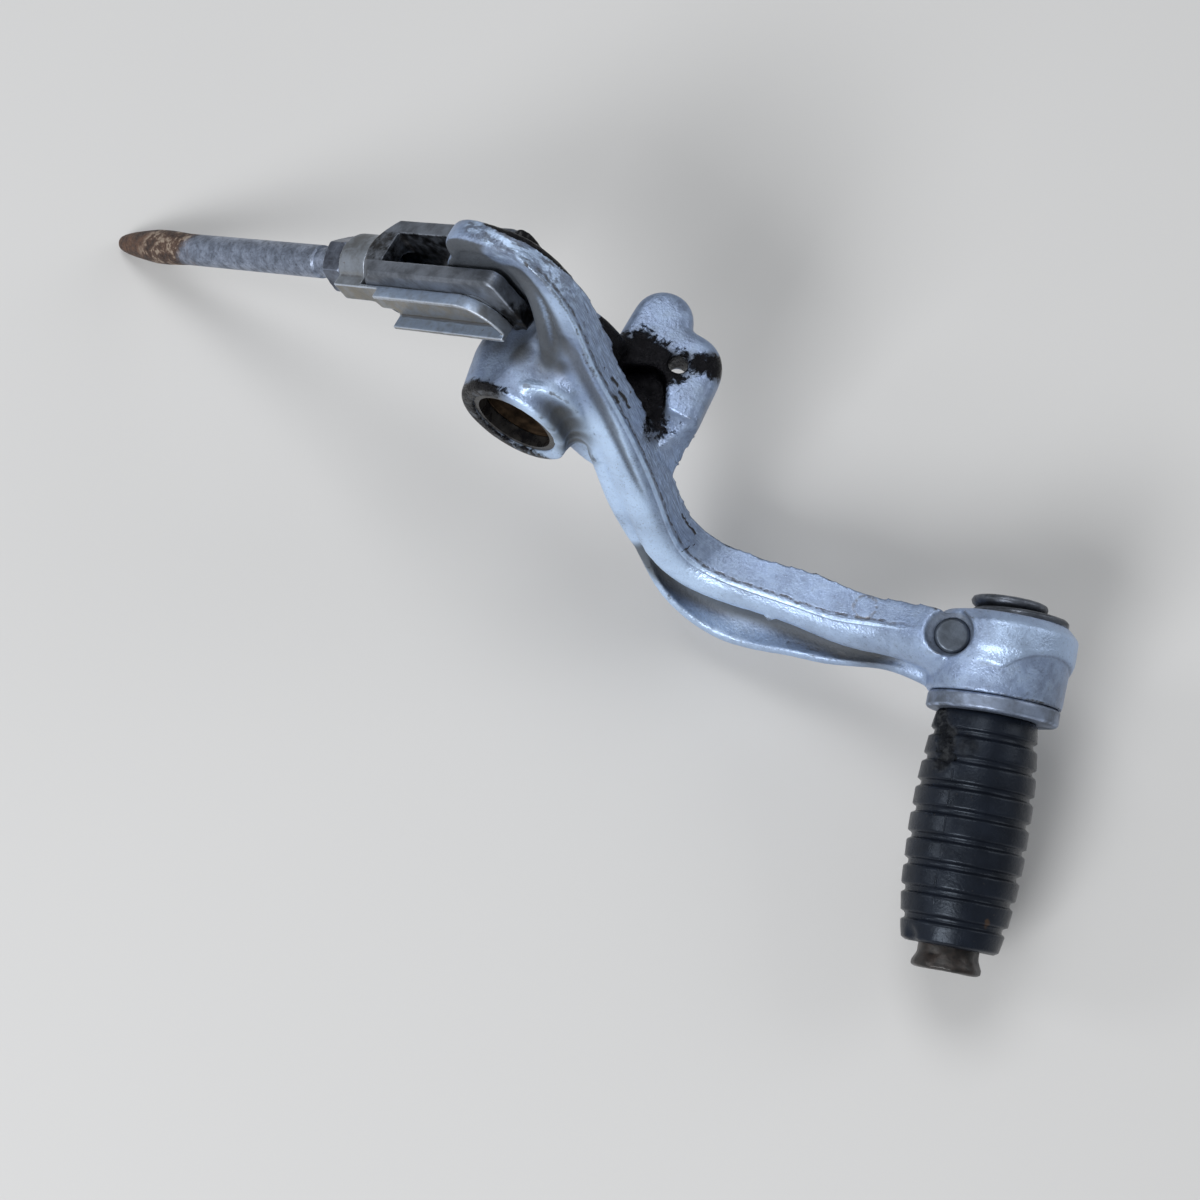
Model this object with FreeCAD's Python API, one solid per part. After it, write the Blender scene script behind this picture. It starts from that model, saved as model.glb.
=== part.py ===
import FreeCAD, Part
import math
import os
from collections import namedtuple
from FreeCAD import Placement, Rotation, Vector

# Rear brake pedal: a cast alloy arm that turns on a bushed pivot, with a
# rubber covered toe peg at its front and a fork head with a push rod at the
# other end.
# Frame: X points forward to the toe peg, Y inboard along the pivot axis and
# Z up. The origin lies on the pivot axis, inside the pivot boss.
# All sizes are in millimetres and all angles in degrees.

# Pivot boss and what is pressed into it
boss_out_end = 15.0
boss_in_end = 13.4
boss_outer_r = 14.1
boss_root_r = 16.2
boss_taper_length = 11.0
boss_edge_chamfer = 0.8
bush_outer_r = 10.0
bush_bore_r = 9.0
bush_gap = 2.0
seal_pocket_r = 10.6
seal_pocket_depth = 4.0
seal_recess = 0.7
seal_width = 3.0
seal_lip_r = 9.3

# Clevis pin place and the tongue of the arm that it joins
pin_x = -14.8
pin_z = 23.0
fork_mid_y = 6.0
pin_r = 4.0
pin_hole_clearance = 0.05
tongue_thickness = 6.4
tongue_foot_r = 11.6
tongue_rim_height = 3.4
tongue_panel_depth = 0.6
tongue_edge_round = 1.4

# Web that ties the tongue, the boss and the arm together
web_y_out = -7.6
web_y_in = 8.0
web_lean_low_z = 13.0
web_lean_high_z = 30.0
web_lean_high_y = 1.2
shoulder_y_out = -12.0
shoulder_y_in = -2.4

# Fork head, all along its own axis from the clevis pin
rod_angle = 36.0
fork_width = 16.0
fork_slot = 8.0
fork_depth = 17.0
fork_end_x = 10.0
fork_end_corner = 2.5
fork_slot_back = 29.7
fork_shoulder_x = 31.0
fork_cone_length = 5.6
fork_cone_r = 8.4
fork_edge_chamfer = 0.6
fork_neck_r = 6.4
fork_neck_length = 10.9
fork_swing_clearance = 0.4

# Push rod and its lock nut
rod_r = 4.0
rod_thread_clearance = 0.05
rod_in_fork = 12.0
rod_free_length = 91.6
rod_groove_from_nut = 4.0
rod_groove_length = 3.0
rod_groove_r = 3.5
rod_rust_r = 4.4
rod_rust_length = 30.0
rod_nose_length = 17.0
rod_nose_r = 1.3
nut_flats = 12.0
nut_height = 6.8

# Spring clip that carries the clevis pin
clip_sheet = 1.0
clip_gap = 0.1
clip_top = 4.2
clip_bottom = -6.4
clip_top_flange = 2.3
clip_low_flange = 3.5
clip_bend_r = 10.0
clip_bend_x = -4.0
clip_step_x = -31.0
clip_claw_x = -46.8
clip_claw_width = 9.2
clip_claw_open = 100.0
clip_claw_mouth = -80.0
pin_tail_r = 1.3
pin_head_r = 1.8
pin_head_height = 0.6
pin_stand_out = 1.4

# Toe peg: the point on its axis in the middle of the eye, and its lean
eye_x = 121.8
eye_y = -1.55
eye_z = -27.3
peg_lean_forward = 17.8
peg_lean_down = 13.6
eye_height_in = 8.6
eye_height_out = 10.4
eye_rim_r = 17.0
eye_rim_height = 9.4
eye_upper_r = 16.5
eye_lower_r = 15.8
eye_edge_round = 2.6
stem_r = 9.0
stem_fit = 0.04
stem_tip_r = 7.0
stem_flare_r = 8.0
stem_flare_length = 4.4
stem_head_r = 9.0
stem_neck_r = 6.5
stem_head_height = 3.0
washer_r = 11.4
washer_thickness = 1.8
collar_gap = 0.15
collar_r = 15.4
collar_thickness = 3.8
collar_fit = 0.05
core_offset = 0.9
rubber_fit = 0.03
washer_offset = 2.8
rubber_ribs = 9
rubber_pitch = 6.1
rubber_groove = 1.5
rubber_groove_depth = 0.95
rubber_top_r = 11.6
rubber_mid_r = 13.7
rubber_end_r = 11.1

# Lock pin driven across the edge of the stem
lock_pin_r = 4.0
lock_pin_length = 17.0
lock_pin_offset = 12.0
lock_pin_along = 1.8
lock_pin_dome = 0.5
lock_recess_r = 5.5
lock_recess_offset = 12.9
lock_recess_along = 2.4
lock_recess_height = 9.4
lock_pin_stand = 0.8

# Bracket on the inboard side with the stop thumb and the spring hole
bracket_top = 4.0
bracket_thickness = 9.0
thumb_mid_x = 17.9
thumb_r = 7.2
thumb_end_y = 31.8
lobe_front_x = 36.6
lobe_end_y = 25.0
lobe_corner_r = 8.5
lobe_root_y = 4.0
bracket_edge_round = 2.8
spring_hole_r = 2.4
spring_hole_x = 26.6
spring_hole_y = 15.5
pocket_depth = 5.5

os.makedirs("parts", exist_ok=True)


def side_point(x, z, y):
    """A point given in the side view, at a distance along the pivot axis."""
    return Vector(x, y, z)


def wire_of(points):
    """Closed wire of straight edges through the points."""
    return Part.makePolygon(list(points) + [points[0]])


def side_prism(outline, y_from, y_to):
    """Solid between two planes across the pivot axis, from a side outline."""
    face = Part.Face(wire_of([side_point(x, z, y_from) for x, z in outline]))
    return face.extrude(Vector(0, y_to - y_from, 0))


def turned(profile):
    """Solid turned about the local Z axis from (radius, height) points."""
    face = Part.Face(wire_of([Vector(r, 0, z) for r, z in profile]))
    return face.revolve(Vector(0, 0, 0), Vector(0, 0, 1), 360)


# The arm is drawn in sections along its worn top band. Each section plane
# holds the Y direction and a line at the angle tilt in the side view. In it,
# out is measured outboard from the edge of the top band, and up along that
# line. The face below the band bulges to (face_out, face_up), a groove of
# depth groove follows, and the lower flange reaches (flange_out, flange_up).
Section = namedtuple("Section", "x z y tilt band rise face_out face_up groove flange_out flange_up")

arm_sections = [
    Section(-13.0, 39.6, 4.4, 80, 3.6, 0.0, 0.3, -5.0, 0.1, 0.3, -12.0),
    Section(-3.4, 42.6, 2.6, 56, 5.4, -1.2, 0.2, -4.0, 0.1, 0.2, -8.6),
    Section(6.1, 34.6, 1.0, 32, 7.0, -0.4, 1.2, -5.0, 0.2, 1.6, -9.0),
    Section(14.2, 19.6, -1.9, 30, 7.2, 0.2, 3.4, -6.0, 0.1, 4.2, -11.0),
    Section(21.9, 7.3, -4.0, 34, 7.2, 0.2, 4.4, -6.4, 0.1, 4.4, -11.5),
    Section(29.6, -4.4, -6.9, 34, 7.3, 0.5, 4.6, -6.4, 0.1, 4.6, -11.6),
    Section(35.6, -15.0, -9.7, 33, 7.2, 0.4, 4.6, -6.6, 0.2, 4.4, -12.0),
    Section(41.8, -26.2, -12.6, 42, 7.6, 0.8, 4.2, -8.0, 0.6, 3.6, -11.6),
    Section(48.5, -32.6, -13.3, 64, 8.2, 1.6, 3.6, -7.8, 2.0, 6.2, -14.0),
    Section(57.4, -33.2, -13.0, 84, 8.2, 1.6, 3.0, -7.4, 2.6, 7.8, -18.4),
    Section(69.6, -31.8, -11.8, 90, 8.3, 2.6, 2.8, -6.4, 2.6, 8.0, -16.8),
    Section(82.0, -29.6, -10.8, 94, 8.0, 2.2, 3.2, -7.2, 2.2, 6.6, -14.6),
    Section(91.4, -26.0, -9.1, 98, 6.6, 2.0, 4.0, -8.8, 1.5, 6.0, -13.9),
    Section(101.5, -19.2, -8.3, 104, 6.6, 1.0, 4.5, -9.8, 0.6, 6.0, -14.6),
    Section(110.0, -14.6, -7.4, 104, 7.6, 0.4, 4.6, -13.4, 0.3, 6.6, -20.0),
]
flange_height = 4.2
flange_under = 1.4
inner_back = 2.0


def arm_section_wire(s):
    """Closed section of the arm: five edges, three of them arcs."""
    angle = math.radians(s.tilt)
    line = Vector(math.cos(angle), 0, math.sin(angle))
    base = Vector(s.x, s.y, s.z)

    def at(out, up):
        return base + Vector(0, -out, 0) + line * up

    inner_top = at(-s.band, s.rise)
    ridge = at(0, 0)
    face_mid = at(s.face_out * 0.82, s.face_up * 0.36)
    face_low = at(s.face_out, s.face_up)
    groove_mid = at(s.face_out - s.groove, (s.face_up + s.flange_up + flange_height) / 2)
    flange_top = at(s.flange_out - 0.8, s.flange_up + flange_height * 0.5)
    flange_mid = at(s.flange_out, s.flange_up)
    under = at(s.flange_out - flange_height, s.flange_up - flange_under)
    inner_low = at(inner_back - s.band, s.flange_up + flange_under * 0.5)
    edges = [
        Part.LineSegment(inner_top, ridge).toShape(),
        Part.Arc(ridge, face_mid, face_low).toShape(),
        Part.Arc(face_low, groove_mid, flange_top).toShape(),
        Part.Arc(flange_top, flange_mid, under).toShape(),
        Part.LineSegment(under, inner_low).toShape(),
        Part.LineSegment(inner_low, inner_top).toShape(),
    ]
    return Part.Wire(edges)


def make_arm_bar():
    """The long bar of the arm, lofted through its sections."""
    return Part.makeLoft([arm_section_wire(s) for s in arm_sections], True, False)


def pin_point(distance, angle, y):
    """Point at a distance and a side view angle from the clevis pin."""
    a = math.radians(angle)
    return side_point(pin_x + distance * math.cos(a), pin_z + distance * math.sin(a), y)


def smooth(points):
    """Smooth edge through the points."""
    curve = Part.BSplineCurve()
    curve.interpolate(points)
    return curve.toShape()


def tongue_wire(inset, y):
    """Side outline of the tongue, drawn in by the inset all round."""
    crown_xz = [(-25.7, 30.6), (-26.2, 34.6), (-24.4, 37.6), (-16.8, 41.3), (-9.0, 42.7), (-3.0, 41.0),
                (1.4, 37.0), (4.6, 31.0)]
    crown = [side_point(x * (1 - inset / 30.0), z - inset, y) for x, z in crown_xz]
    foot = tongue_foot_r - inset * 0.5
    rest = [crown[-1], side_point(12.0 - inset, 14.0, y), side_point(4.0, 2.0, y), pin_point(foot, 285, y)]
    edges = [smooth(crown)]
    edges += [Part.LineSegment(p, q).toShape() for p, q in zip(rest[:-1], rest[1:])]
    edges.append(Part.Arc(rest[-1], pin_point(foot, 215, y), pin_point(foot, 150, y)).toShape())
    edges.append(Part.LineSegment(pin_point(foot, 150, y), crown[0]).toShape())
    return Part.Wire(edges)


def make_tongue():
    """Plate that stands in the fork slot, eased at its rim, with a thin panel."""
    near_y = fork_mid_y - tongue_thickness / 2
    far_y = fork_mid_y + tongue_thickness / 2
    r = tongue_edge_round
    c = r * (1 - math.sqrt(0.5))
    rings = [(r, near_y), (c, near_y + c), (0.0, near_y + r), (0.0, far_y - r), (c, far_y - c), (r, far_y)]
    plate = Part.makeLoft([tongue_wire(inset, y) for inset, y in rings], True, True)
    panel = Part.Face(tongue_wire(tongue_rim_height, near_y - 1.0))
    return plate.cut(panel.extrude(Vector(0, 1.0 + tongue_panel_depth, 0)))


def make_low_web():
    """Web between the boss and the lower part of the arm."""
    outline = [(-2.0, -6.0), (3.0, 6.0), (14.0, 2.0), (22.0, -6.0), (27.0, -14.0), (22.0, -20.0),
               (17.4, -19.6), (13.0, -18.2), (8.0, -14.5)]
    return side_prism(outline, web_y_out, web_y_in)


def make_high_web():
    """Web from the boss up to the ridge, with a face that leans inboard."""
    lean = (web_lean_high_y - shoulder_y_in) / (web_lean_high_z - web_lean_low_z)
    outline = [(-6.0, 8.0), (-6.0, 11.0), (-4.0, 20.0), (6.0, 30.0), (14.0, 15.0), (12.0, 4.0)]
    near = wire_of([side_point(x, z, shoulder_y_in + lean * (z - web_lean_low_z)) for x, z in outline])
    far = wire_of([side_point(x, z, web_y_in) for x, z in outline])
    return Part.makeLoft([near, far], True, True)


def make_shoulder():
    """Rounded shoulder that runs from the top of the boss to the arm's ridge."""
    on_boss = [(-3.0, 13.5), (2.0, 13.7), (6.0, 12.4), (9.5, 9.9), (12.2, 6.3), (13.6, 2.0),
               (13.0, -4.0), (8.0, -6.0), (2.0, -2.0), (-3.0, 4.0)]
    on_arm = [(-4.0, 13.2), (2.0, 15.0), (8.0, 19.5), (13.0, 18.5), (19.0, 8.5), (25.0, -1.5),
              (27.0, -10.0), (20.0, -13.0), (8.0, -8.0), (-4.0, 2.0)]
    near = wire_of([side_point(x, z, shoulder_y_out) for x, z in on_boss])
    far = wire_of([side_point(x, z, shoulder_y_in) for x, z in on_arm])
    return Part.makeLoft([near, far], True, True)


def make_bracket():
    """Flat lug inboard of the arm: stop thumb, spring lobe and pocket."""
    bottom = bracket_top - bracket_thickness
    up = Vector(0, 0, 1)
    size = Vector(0, 0, bracket_thickness)
    thumb_centre_y = thumb_end_y - thumb_r
    thumb = Part.makeBox(2 * thumb_r, thumb_centre_y, bracket_thickness,
                         Vector(thumb_mid_x - thumb_r, 0, bottom))
    thumb = thumb.fuse(Part.makeCylinder(thumb_r, bracket_thickness,
                                         Vector(thumb_mid_x, thumb_centre_y, bottom), up))
    corner = Vector(lobe_front_x - lobe_corner_r, lobe_end_y - lobe_corner_r, bottom)
    lobe_outline = [
        Vector(thumb_mid_x, 0, bottom),
        Vector(thumb_mid_x, lobe_end_y, bottom),
        Vector(corner.x, lobe_end_y, bottom),
        Vector(lobe_front_x, corner.y, bottom),
        Vector(lobe_front_x + 0.9, lobe_root_y, bottom),
        Vector(lobe_front_x - 7.6, lobe_root_y, bottom),
        Vector(lobe_front_x - 8.1, lobe_root_y - 5.0, bottom),
    ]
    k = math.sqrt(0.5) * lobe_corner_r
    arc = Part.Arc(lobe_outline[2], Vector(corner.x + k, corner.y + k, bottom), lobe_outline[3])
    edges = [
        Part.LineSegment(lobe_outline[0], lobe_outline[1]).toShape(),
        Part.LineSegment(lobe_outline[1], lobe_outline[2]).toShape(),
        arc.toShape(),
        Part.LineSegment(lobe_outline[3], lobe_outline[4]).toShape(),
        Part.LineSegment(lobe_outline[4], lobe_outline[5]).toShape(),
        Part.LineSegment(lobe_outline[5], lobe_outline[6]).toShape(),
        Part.LineSegment(lobe_outline[6], lobe_outline[0]).toShape(),
    ]
    lobe = Part.Face(Part.Wire(edges)).extrude(size)
    bracket = thumb.fuse(lobe).removeSplitter()
    rounded = [e for e in bracket.Edges if is_bracket_rim(e)]
    bracket = bracket.makeFillet(bracket_edge_round, rounded)
    floor_z = bracket_top - pocket_depth
    pocket_outline = [(15.5, 9.0), (22.5, 12.6), (25.6, 11.0), (29.2, 4.6), (29.4, -9.0), (20.0, -9.0)]
    pocket = Part.Face(wire_of([Vector(x, y, floor_z) for x, y in pocket_outline]))
    bracket = bracket.cut(pocket.extrude(Vector(0, 0, pocket_depth + 1)))
    hole = Part.makeCylinder(spring_hole_r, bracket_thickness + 2,
                             Vector(spring_hole_x, spring_hole_y, bottom - 1), up)
    return bracket.cut(hole)


def is_bracket_rim(edge):
    """True for the top and bottom edges of the free outline of the bracket."""
    bottom = bracket_top - bracket_thickness
    box = edge.BoundBox
    flat = box.ZMax - box.ZMin < 0.01
    level = abs(box.ZMax - bracket_top) < 0.01 or abs(box.ZMax - bottom) < 0.01
    return flat and level and box.YMax > lobe_root_y + 0.5 and box.XMax > thumb_mid_x - thumb_r - 0.1


def make_rib():
    """Rib that slopes from the front of the bracket down to the arm's band."""
    top = bracket_top - 0.4
    bottom = bracket_top - bracket_thickness + 0.4
    front = lobe_front_x + 0.8
    rear = lobe_front_x - 7.4
    on_lobe = [(rear, bottom), (rear, top), (front, top), (front, bottom)]
    on_arm = [(rear - 0.7, -12.0), (rear + 0.4, -5.8), (front - 2.0, -15.6), (front - 5.4, -18.0)]
    near = wire_of([side_point(x, z, lobe_root_y - 7.6) for x, z in on_arm])
    far = wire_of([side_point(x, z, lobe_root_y + 1.0) for x, z in on_lobe])
    return Part.makeLoft([near, far], True, True)


def peg_frame():
    """Placement of the peg: its local Z axis points outboard along the peg."""
    f = math.radians(peg_lean_forward)
    d = math.radians(peg_lean_down)
    out = Vector(math.sin(f) * math.cos(d), -math.cos(f) * math.cos(d), -math.sin(d))
    rear = Vector(-1, 0, 0)
    rear = rear - out * rear.dot(out)
    rear.normalize()
    side = out.cross(rear)
    m = FreeCAD.Matrix(rear.x, side.x, out.x, eye_x, rear.y, side.y, out.y, eye_y,
                       rear.z, side.z, out.z, eye_z, 0, 0, 0, 1)
    return Placement(m)


def placed(shape, placement):
    """Copy of the shape with its placement applied to its geometry."""
    moved = shape.copy()
    moved.transformShape(placement.toMatrix(), True)
    return moved


def lock_axis_up():
    """Sign of the local Y direction that points up, for the lock pin."""
    return 1.0 if peg_frame().Rotation.multVec(Vector(0, 1, 0)).z > 0 else -1.0


def make_eye():
    """Turned eye of the arm in the peg's own frame, before its bores."""
    rim_low = eye_rim_height - eye_height_in
    e = eye_edge_round
    profile = [
        (0, -eye_height_in), (eye_rim_r - e, -eye_height_in), (eye_rim_r, e - eye_height_in),
        (eye_rim_r, rim_low - 0.8), (eye_upper_r, rim_low), (eye_lower_r, eye_height_out),
        (0, eye_height_out),
    ]
    return turned(profile)


def eye_cutters():
    """Stem bore, collar space, lock pin hole and its recess, in the peg's own frame."""
    up = lock_axis_up()
    bore = Part.makeCylinder(stem_r + stem_fit, 4 * eye_height_out, Vector(0, 0, -2 * eye_height_out))
    collar_space = Part.makeCylinder(2 * eye_rim_r, 2 * eye_height_out, Vector(0, 0, eye_height_out))
    top = 2 * eye_rim_r
    hole_start = Vector(lock_pin_offset, up * top, -lock_pin_along)
    down = Vector(0, -up, 0)
    hole = Part.makeCylinder(lock_pin_r, top - lock_recess_height + lock_pin_length, hole_start, down)
    recess_start = Vector(lock_recess_offset, up * top, -lock_recess_along)
    recess = Part.makeCylinder(lock_recess_r, top - lock_recess_height, recess_start, down)
    return [bore, collar_space, hole, recess]


def fork_swing_space():
    """Two round spaces beside the tongue in which the fork's cheeks swing."""
    half = tongue_thickness / 2
    reach = math.hypot(fork_end_x, fork_depth / 2) + fork_swing_clearance
    along = Vector(0, 1, 0)
    near = Part.makeCylinder(reach, fork_width, Vector(pin_x, fork_mid_y - half - fork_width, pin_z), along)
    far = Part.makeCylinder(reach, fork_width, Vector(pin_x, fork_mid_y + half, pin_z), along)
    return [near, far]


def make_boss():
    """Pivot boss, chamfered at its rim and wider where it joins the web."""
    c = boss_edge_chamfer
    profile = [
        (0, -boss_out_end), (boss_outer_r - c, -boss_out_end), (boss_outer_r, c - boss_out_end),
        (boss_root_r, boss_taper_length - boss_out_end), (boss_root_r, boss_in_end - c),
        (boss_root_r - c, boss_in_end), (0, boss_in_end),
    ]
    return placed(turned(profile), pivot_frame())


def pivot_frame():
    """Placement that lays the local Z axis along the pivot axis."""
    return Placement(Vector(0, 0, 0), Rotation(Vector(1, 0, 0), -90))


def pivot_tube(outer_r, inner_r, y_from, y_to):
    """Tube on the pivot axis between two distances along it."""
    return turned([(inner_r, y_from), (outer_r, y_from), (outer_r, y_to), (inner_r, y_to)])


def bush_ends():
    """Distances along the pivot axis of the four ends of the two bushes."""
    first = seal_pocket_depth - boss_out_end
    last = boss_in_end - seal_pocket_depth
    half = (last - first - bush_gap) / 2
    return first, first + half, last - half, last


def make_pedal_arm():
    """The whole casting, with its bores."""
    frame = peg_frame()
    body = make_boss().fuse(make_low_web()).fuse(make_high_web()).fuse(make_shoulder())
    for clearance in fork_swing_space():
        body = body.cut(clearance)
    for piece in (make_tongue(), make_bracket(), make_rib(), make_arm_bar(), placed(make_eye(), frame)):
        body = body.fuse(piece)
    for cutter in eye_cutters():
        body = body.cut(placed(cutter, frame))
    bore = turned([
        (0, -2 * boss_out_end), (seal_pocket_r, -2 * boss_out_end), (seal_pocket_r, bush_ends()[0]),
        (bush_outer_r, bush_ends()[0]), (bush_outer_r, bush_ends()[3]), (seal_pocket_r, bush_ends()[3]),
        (seal_pocket_r, 2 * boss_in_end), (0, 2 * boss_in_end),
    ])
    body = body.cut(placed(bore, pivot_frame()))
    hole_r = pin_r + pin_hole_clearance
    hole = Part.makeCylinder(hole_r, 2 * fork_width, Vector(pin_x, fork_mid_y - fork_width, pin_z), Vector(0, 1, 0))
    return body.cut(hole).removeSplitter()


def make_bushes():
    """The outer and the inner bronze bush, each up against its seal pocket."""
    a, b, c, d = bush_ends()
    outer = pivot_tube(bush_outer_r, bush_bore_r, a, b)
    inner = pivot_tube(bush_outer_r, bush_bore_r, c, d)
    return placed(outer, pivot_frame()), placed(inner, pivot_frame())


def make_seals():
    """The outer and the inner rubber seal in the mouths of the boss."""
    outer_y = seal_recess - boss_out_end
    inner_y = boss_in_end - seal_recess
    outer = pivot_tube(seal_pocket_r, seal_lip_r, outer_y, outer_y + seal_width)
    inner = pivot_tube(seal_pocket_r, seal_lip_r, inner_y - seal_width, inner_y)
    return placed(outer, pivot_frame()), placed(inner, pivot_frame())


def fork_frame():
    """Placement of the fork head: its local X axis runs along the rod."""
    return Placement(Vector(pin_x, fork_mid_y, pin_z), Rotation(Vector(0, 1, 0), -rod_angle))


def turned_x(profile):
    """Solid turned about the local X axis from (x, radius) points."""
    face = Part.Face(wire_of([Vector(x, 0, r) for x, r in profile]))
    return face.revolve(Vector(0, 0, 0), Vector(1, 0, 0), 360)


def make_fork():
    """Milled fork head with a turned shoulder, a neck and a rounded open end."""
    w = fork_width / 2
    d = fork_depth / 2
    block = Part.makeBox(fork_cone_length + fork_shoulder_x + fork_end_x, fork_width, fork_depth,
                         Vector(-fork_shoulder_x - fork_cone_length, -w, -d))
    block = block.makeChamfer(fork_edge_chamfer, [e for e in block.Edges if is_long_edge(e)])
    end_edges = [e for e in block.Edges if is_end_edge(e)]
    block = block.makeFillet(fork_end_corner, end_edges)
    corner_r = math.hypot(w, d)
    cone_back = -fork_shoulder_x - fork_cone_length
    limit = turned_x([(cone_back, 0), (cone_back, fork_cone_r), (-fork_shoulder_x, corner_r),
                      (fork_end_x + 1, corner_r), (fork_end_x + 1, 0)])
    block = block.common(limit)
    s = fork_slot / 2
    block = block.cut(Part.makeBox(fork_slot_back + fork_end_x + 1, fork_slot, fork_depth + 2,
                                   Vector(-fork_slot_back, -s, -d - 1)))
    neck_end = cone_back - fork_neck_length
    neck = turned_x([(neck_end, 0), (neck_end, fork_neck_r - 0.5), (neck_end + 0.5, fork_neck_r),
                     (cone_back, fork_neck_r), (cone_back, 0)])
    fork = block.fuse(neck)
    fork = fork.cut(Part.makeCylinder(rod_r, fork_neck_end(), Vector(-fork_slot_back, 0, 0), Vector(-1, 0, 0)))
    hole_r = pin_r + pin_hole_clearance
    fork = fork.cut(Part.makeCylinder(hole_r, fork_width + 2, Vector(0, -w - 1, 0), Vector(0, 1, 0)))
    return fork.removeSplitter()


def fork_neck_end():
    """Distance from the clevis pin back to the end of the fork's neck."""
    return fork_shoulder_x + fork_cone_length + fork_neck_length


def is_end_edge(edge):
    """True for the two edges across the open end of the fork block."""
    box = edge.BoundBox
    return box.XMin > fork_end_x - 0.01 and box.YMax - box.YMin > fork_width / 2


def is_long_edge(edge):
    """True for the four edges of the fork block along the rod."""
    box = edge.BoundBox
    return box.XMax - box.XMin > fork_shoulder_x


def make_rod():
    """Push rod with its threaded root, a groove, a rusted end and a blunt nose."""
    root = rod_in_fork - fork_neck_end()
    nut_back = -fork_neck_end() - nut_height
    thread_r = rod_r - rod_thread_clearance
    groove = nut_back - rod_groove_from_nut
    tip = nut_back - rod_free_length
    rust = tip + rod_rust_length
    nose = tip + rod_nose_length
    profile = [
        (root, 0), (root, thread_r - 0.6), (root - 0.6, thread_r), (groove, thread_r),
        (groove - 0.3, rod_groove_r), (groove - rod_groove_length, rod_groove_r),
        (groove - rod_groove_length - 0.5, rod_r), (rust, rod_r), (rust - 8.0, rod_rust_r),
        (nose, rod_rust_r),
    ]
    for share in (0.8, 0.6, 0.42, 0.26, 0.13, 0.05):
        profile.append((tip + rod_nose_length * share, rod_nose_r + (rod_rust_r - rod_nose_r) * math.sqrt(share)))
    profile += [(tip, rod_nose_r * 0.8), (tip, 0)]
    return turned_x(profile)


def make_nut():
    """Hexagon lock nut with chamfered corners."""
    start = -fork_neck_end()
    corner = nut_flats / math.sqrt(3)
    hexagon = [Vector(start, corner * math.cos(math.radians(a)), corner * math.sin(math.radians(a)))
               for a in range(20, 380, 60)]
    nut = Part.Face(wire_of(hexagon)).extrude(Vector(-nut_height, 0, 0))
    f = nut_flats / 2
    c = (corner - f) * 0.7
    limit = turned_x([(start, 0), (start, f), (start - c, corner), (start - nut_height + c, corner),
                      (start - nut_height, f), (start - nut_height, 0)])
    nut = nut.common(limit)
    return nut.cut(Part.makeCylinder(rod_r, nut_height + 2, Vector(start + 1, 0, 0), Vector(-1, 0, 0)))


def make_clevis_pin():
    """Clevis pin, chamfered at its free end and riveted over on the clip."""
    w = fork_width / 2
    free_end = w + pin_stand_out
    clip_inner = -w - clip_gap
    clip_outer = clip_inner - clip_sheet
    c = 0.8
    h = pin_head_height
    profile = [
        (0, free_end), (pin_r - c, free_end), (pin_r, free_end - c), (pin_r, clip_inner), (pin_tail_r, clip_inner),
        (pin_tail_r, clip_outer), (pin_head_r, clip_outer), (pin_head_r, clip_outer - h * 0.4),
        (pin_head_r - h * 0.6, clip_outer - h), (0, clip_outer - h),
    ]
    return placed(turned(profile), pivot_frame())


def clip_region(radius, left, low, y):
    """Face of the clip's side outline: straight top, quarter round right end."""
    cz = clip_top - clip_bend_r
    k = math.sqrt(0.5) * radius
    top_left = Vector(left, y, cz + radius)
    arc_top = Vector(clip_bend_x, y, cz + radius)
    arc_end = Vector(clip_bend_x + radius, y, cz)
    low_right = Vector(clip_bend_x + radius, y, low)
    low_left = Vector(left, y, low)
    edges = [
        Part.LineSegment(top_left, arc_top).toShape(),
        Part.Arc(arc_top, Vector(clip_bend_x + k, y, cz + k), arc_end).toShape(),
        Part.LineSegment(arc_end, low_right).toShape(),
        Part.LineSegment(low_right, low_left).toShape(),
        Part.LineSegment(low_left, top_left).toShape(),
    ]
    return Part.Face(Part.Wire(edges))


def make_clip():
    """Folded spring clip: a channel on the cheek and a claw on the neck."""
    inner_y = -fork_width / 2 - clip_gap
    t = clip_sheet
    left = clip_claw_x + clip_claw_width
    web = clip_region(clip_bend_r, left, clip_bottom, inner_y).extrude(Vector(0, -t, 0))
    steps = [(left - 1, clip_bottom - 1), (clip_step_x, clip_bottom - 1), (clip_step_x, clip_bottom + 2.2),
             (clip_step_x - 0.6, clip_bottom + 2.8), (clip_step_x - 4.4, clip_bottom + 2.8),
             (clip_step_x - 5.0, clip_bottom + 3.4), (clip_step_x - 5.4, clip_bottom + 5.0), (left - 1, clip_bottom + 5.2)]
    web = web.cut(side_prism(steps, inner_y - t - 1, inner_y + 1))
    rim = clip_region(clip_bend_r, clip_step_x, clip_bottom, inner_y).extrude(Vector(0, -t - clip_top_flange, 0))
    inside = clip_region(clip_bend_r - t, clip_step_x - 1, clip_bottom - 1, inner_y + 1)
    rim = rim.cut(inside.extrude(Vector(0, -20, 0)))
    low = Part.makeBox(clip_bend_x + clip_bend_r - clip_step_x, t + clip_low_flange, t,
                       Vector(clip_step_x, inner_y - t - clip_low_flange, clip_bottom))
    clip = web.fuse(rim).fuse(low).fuse(make_claw())
    hole = Part.makeCylinder(pin_tail_r + pin_hole_clearance, 3 * t, Vector(0, inner_y + t, 0), Vector(0, -1, 0))
    return clip.cut(hole).removeSplitter()


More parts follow.
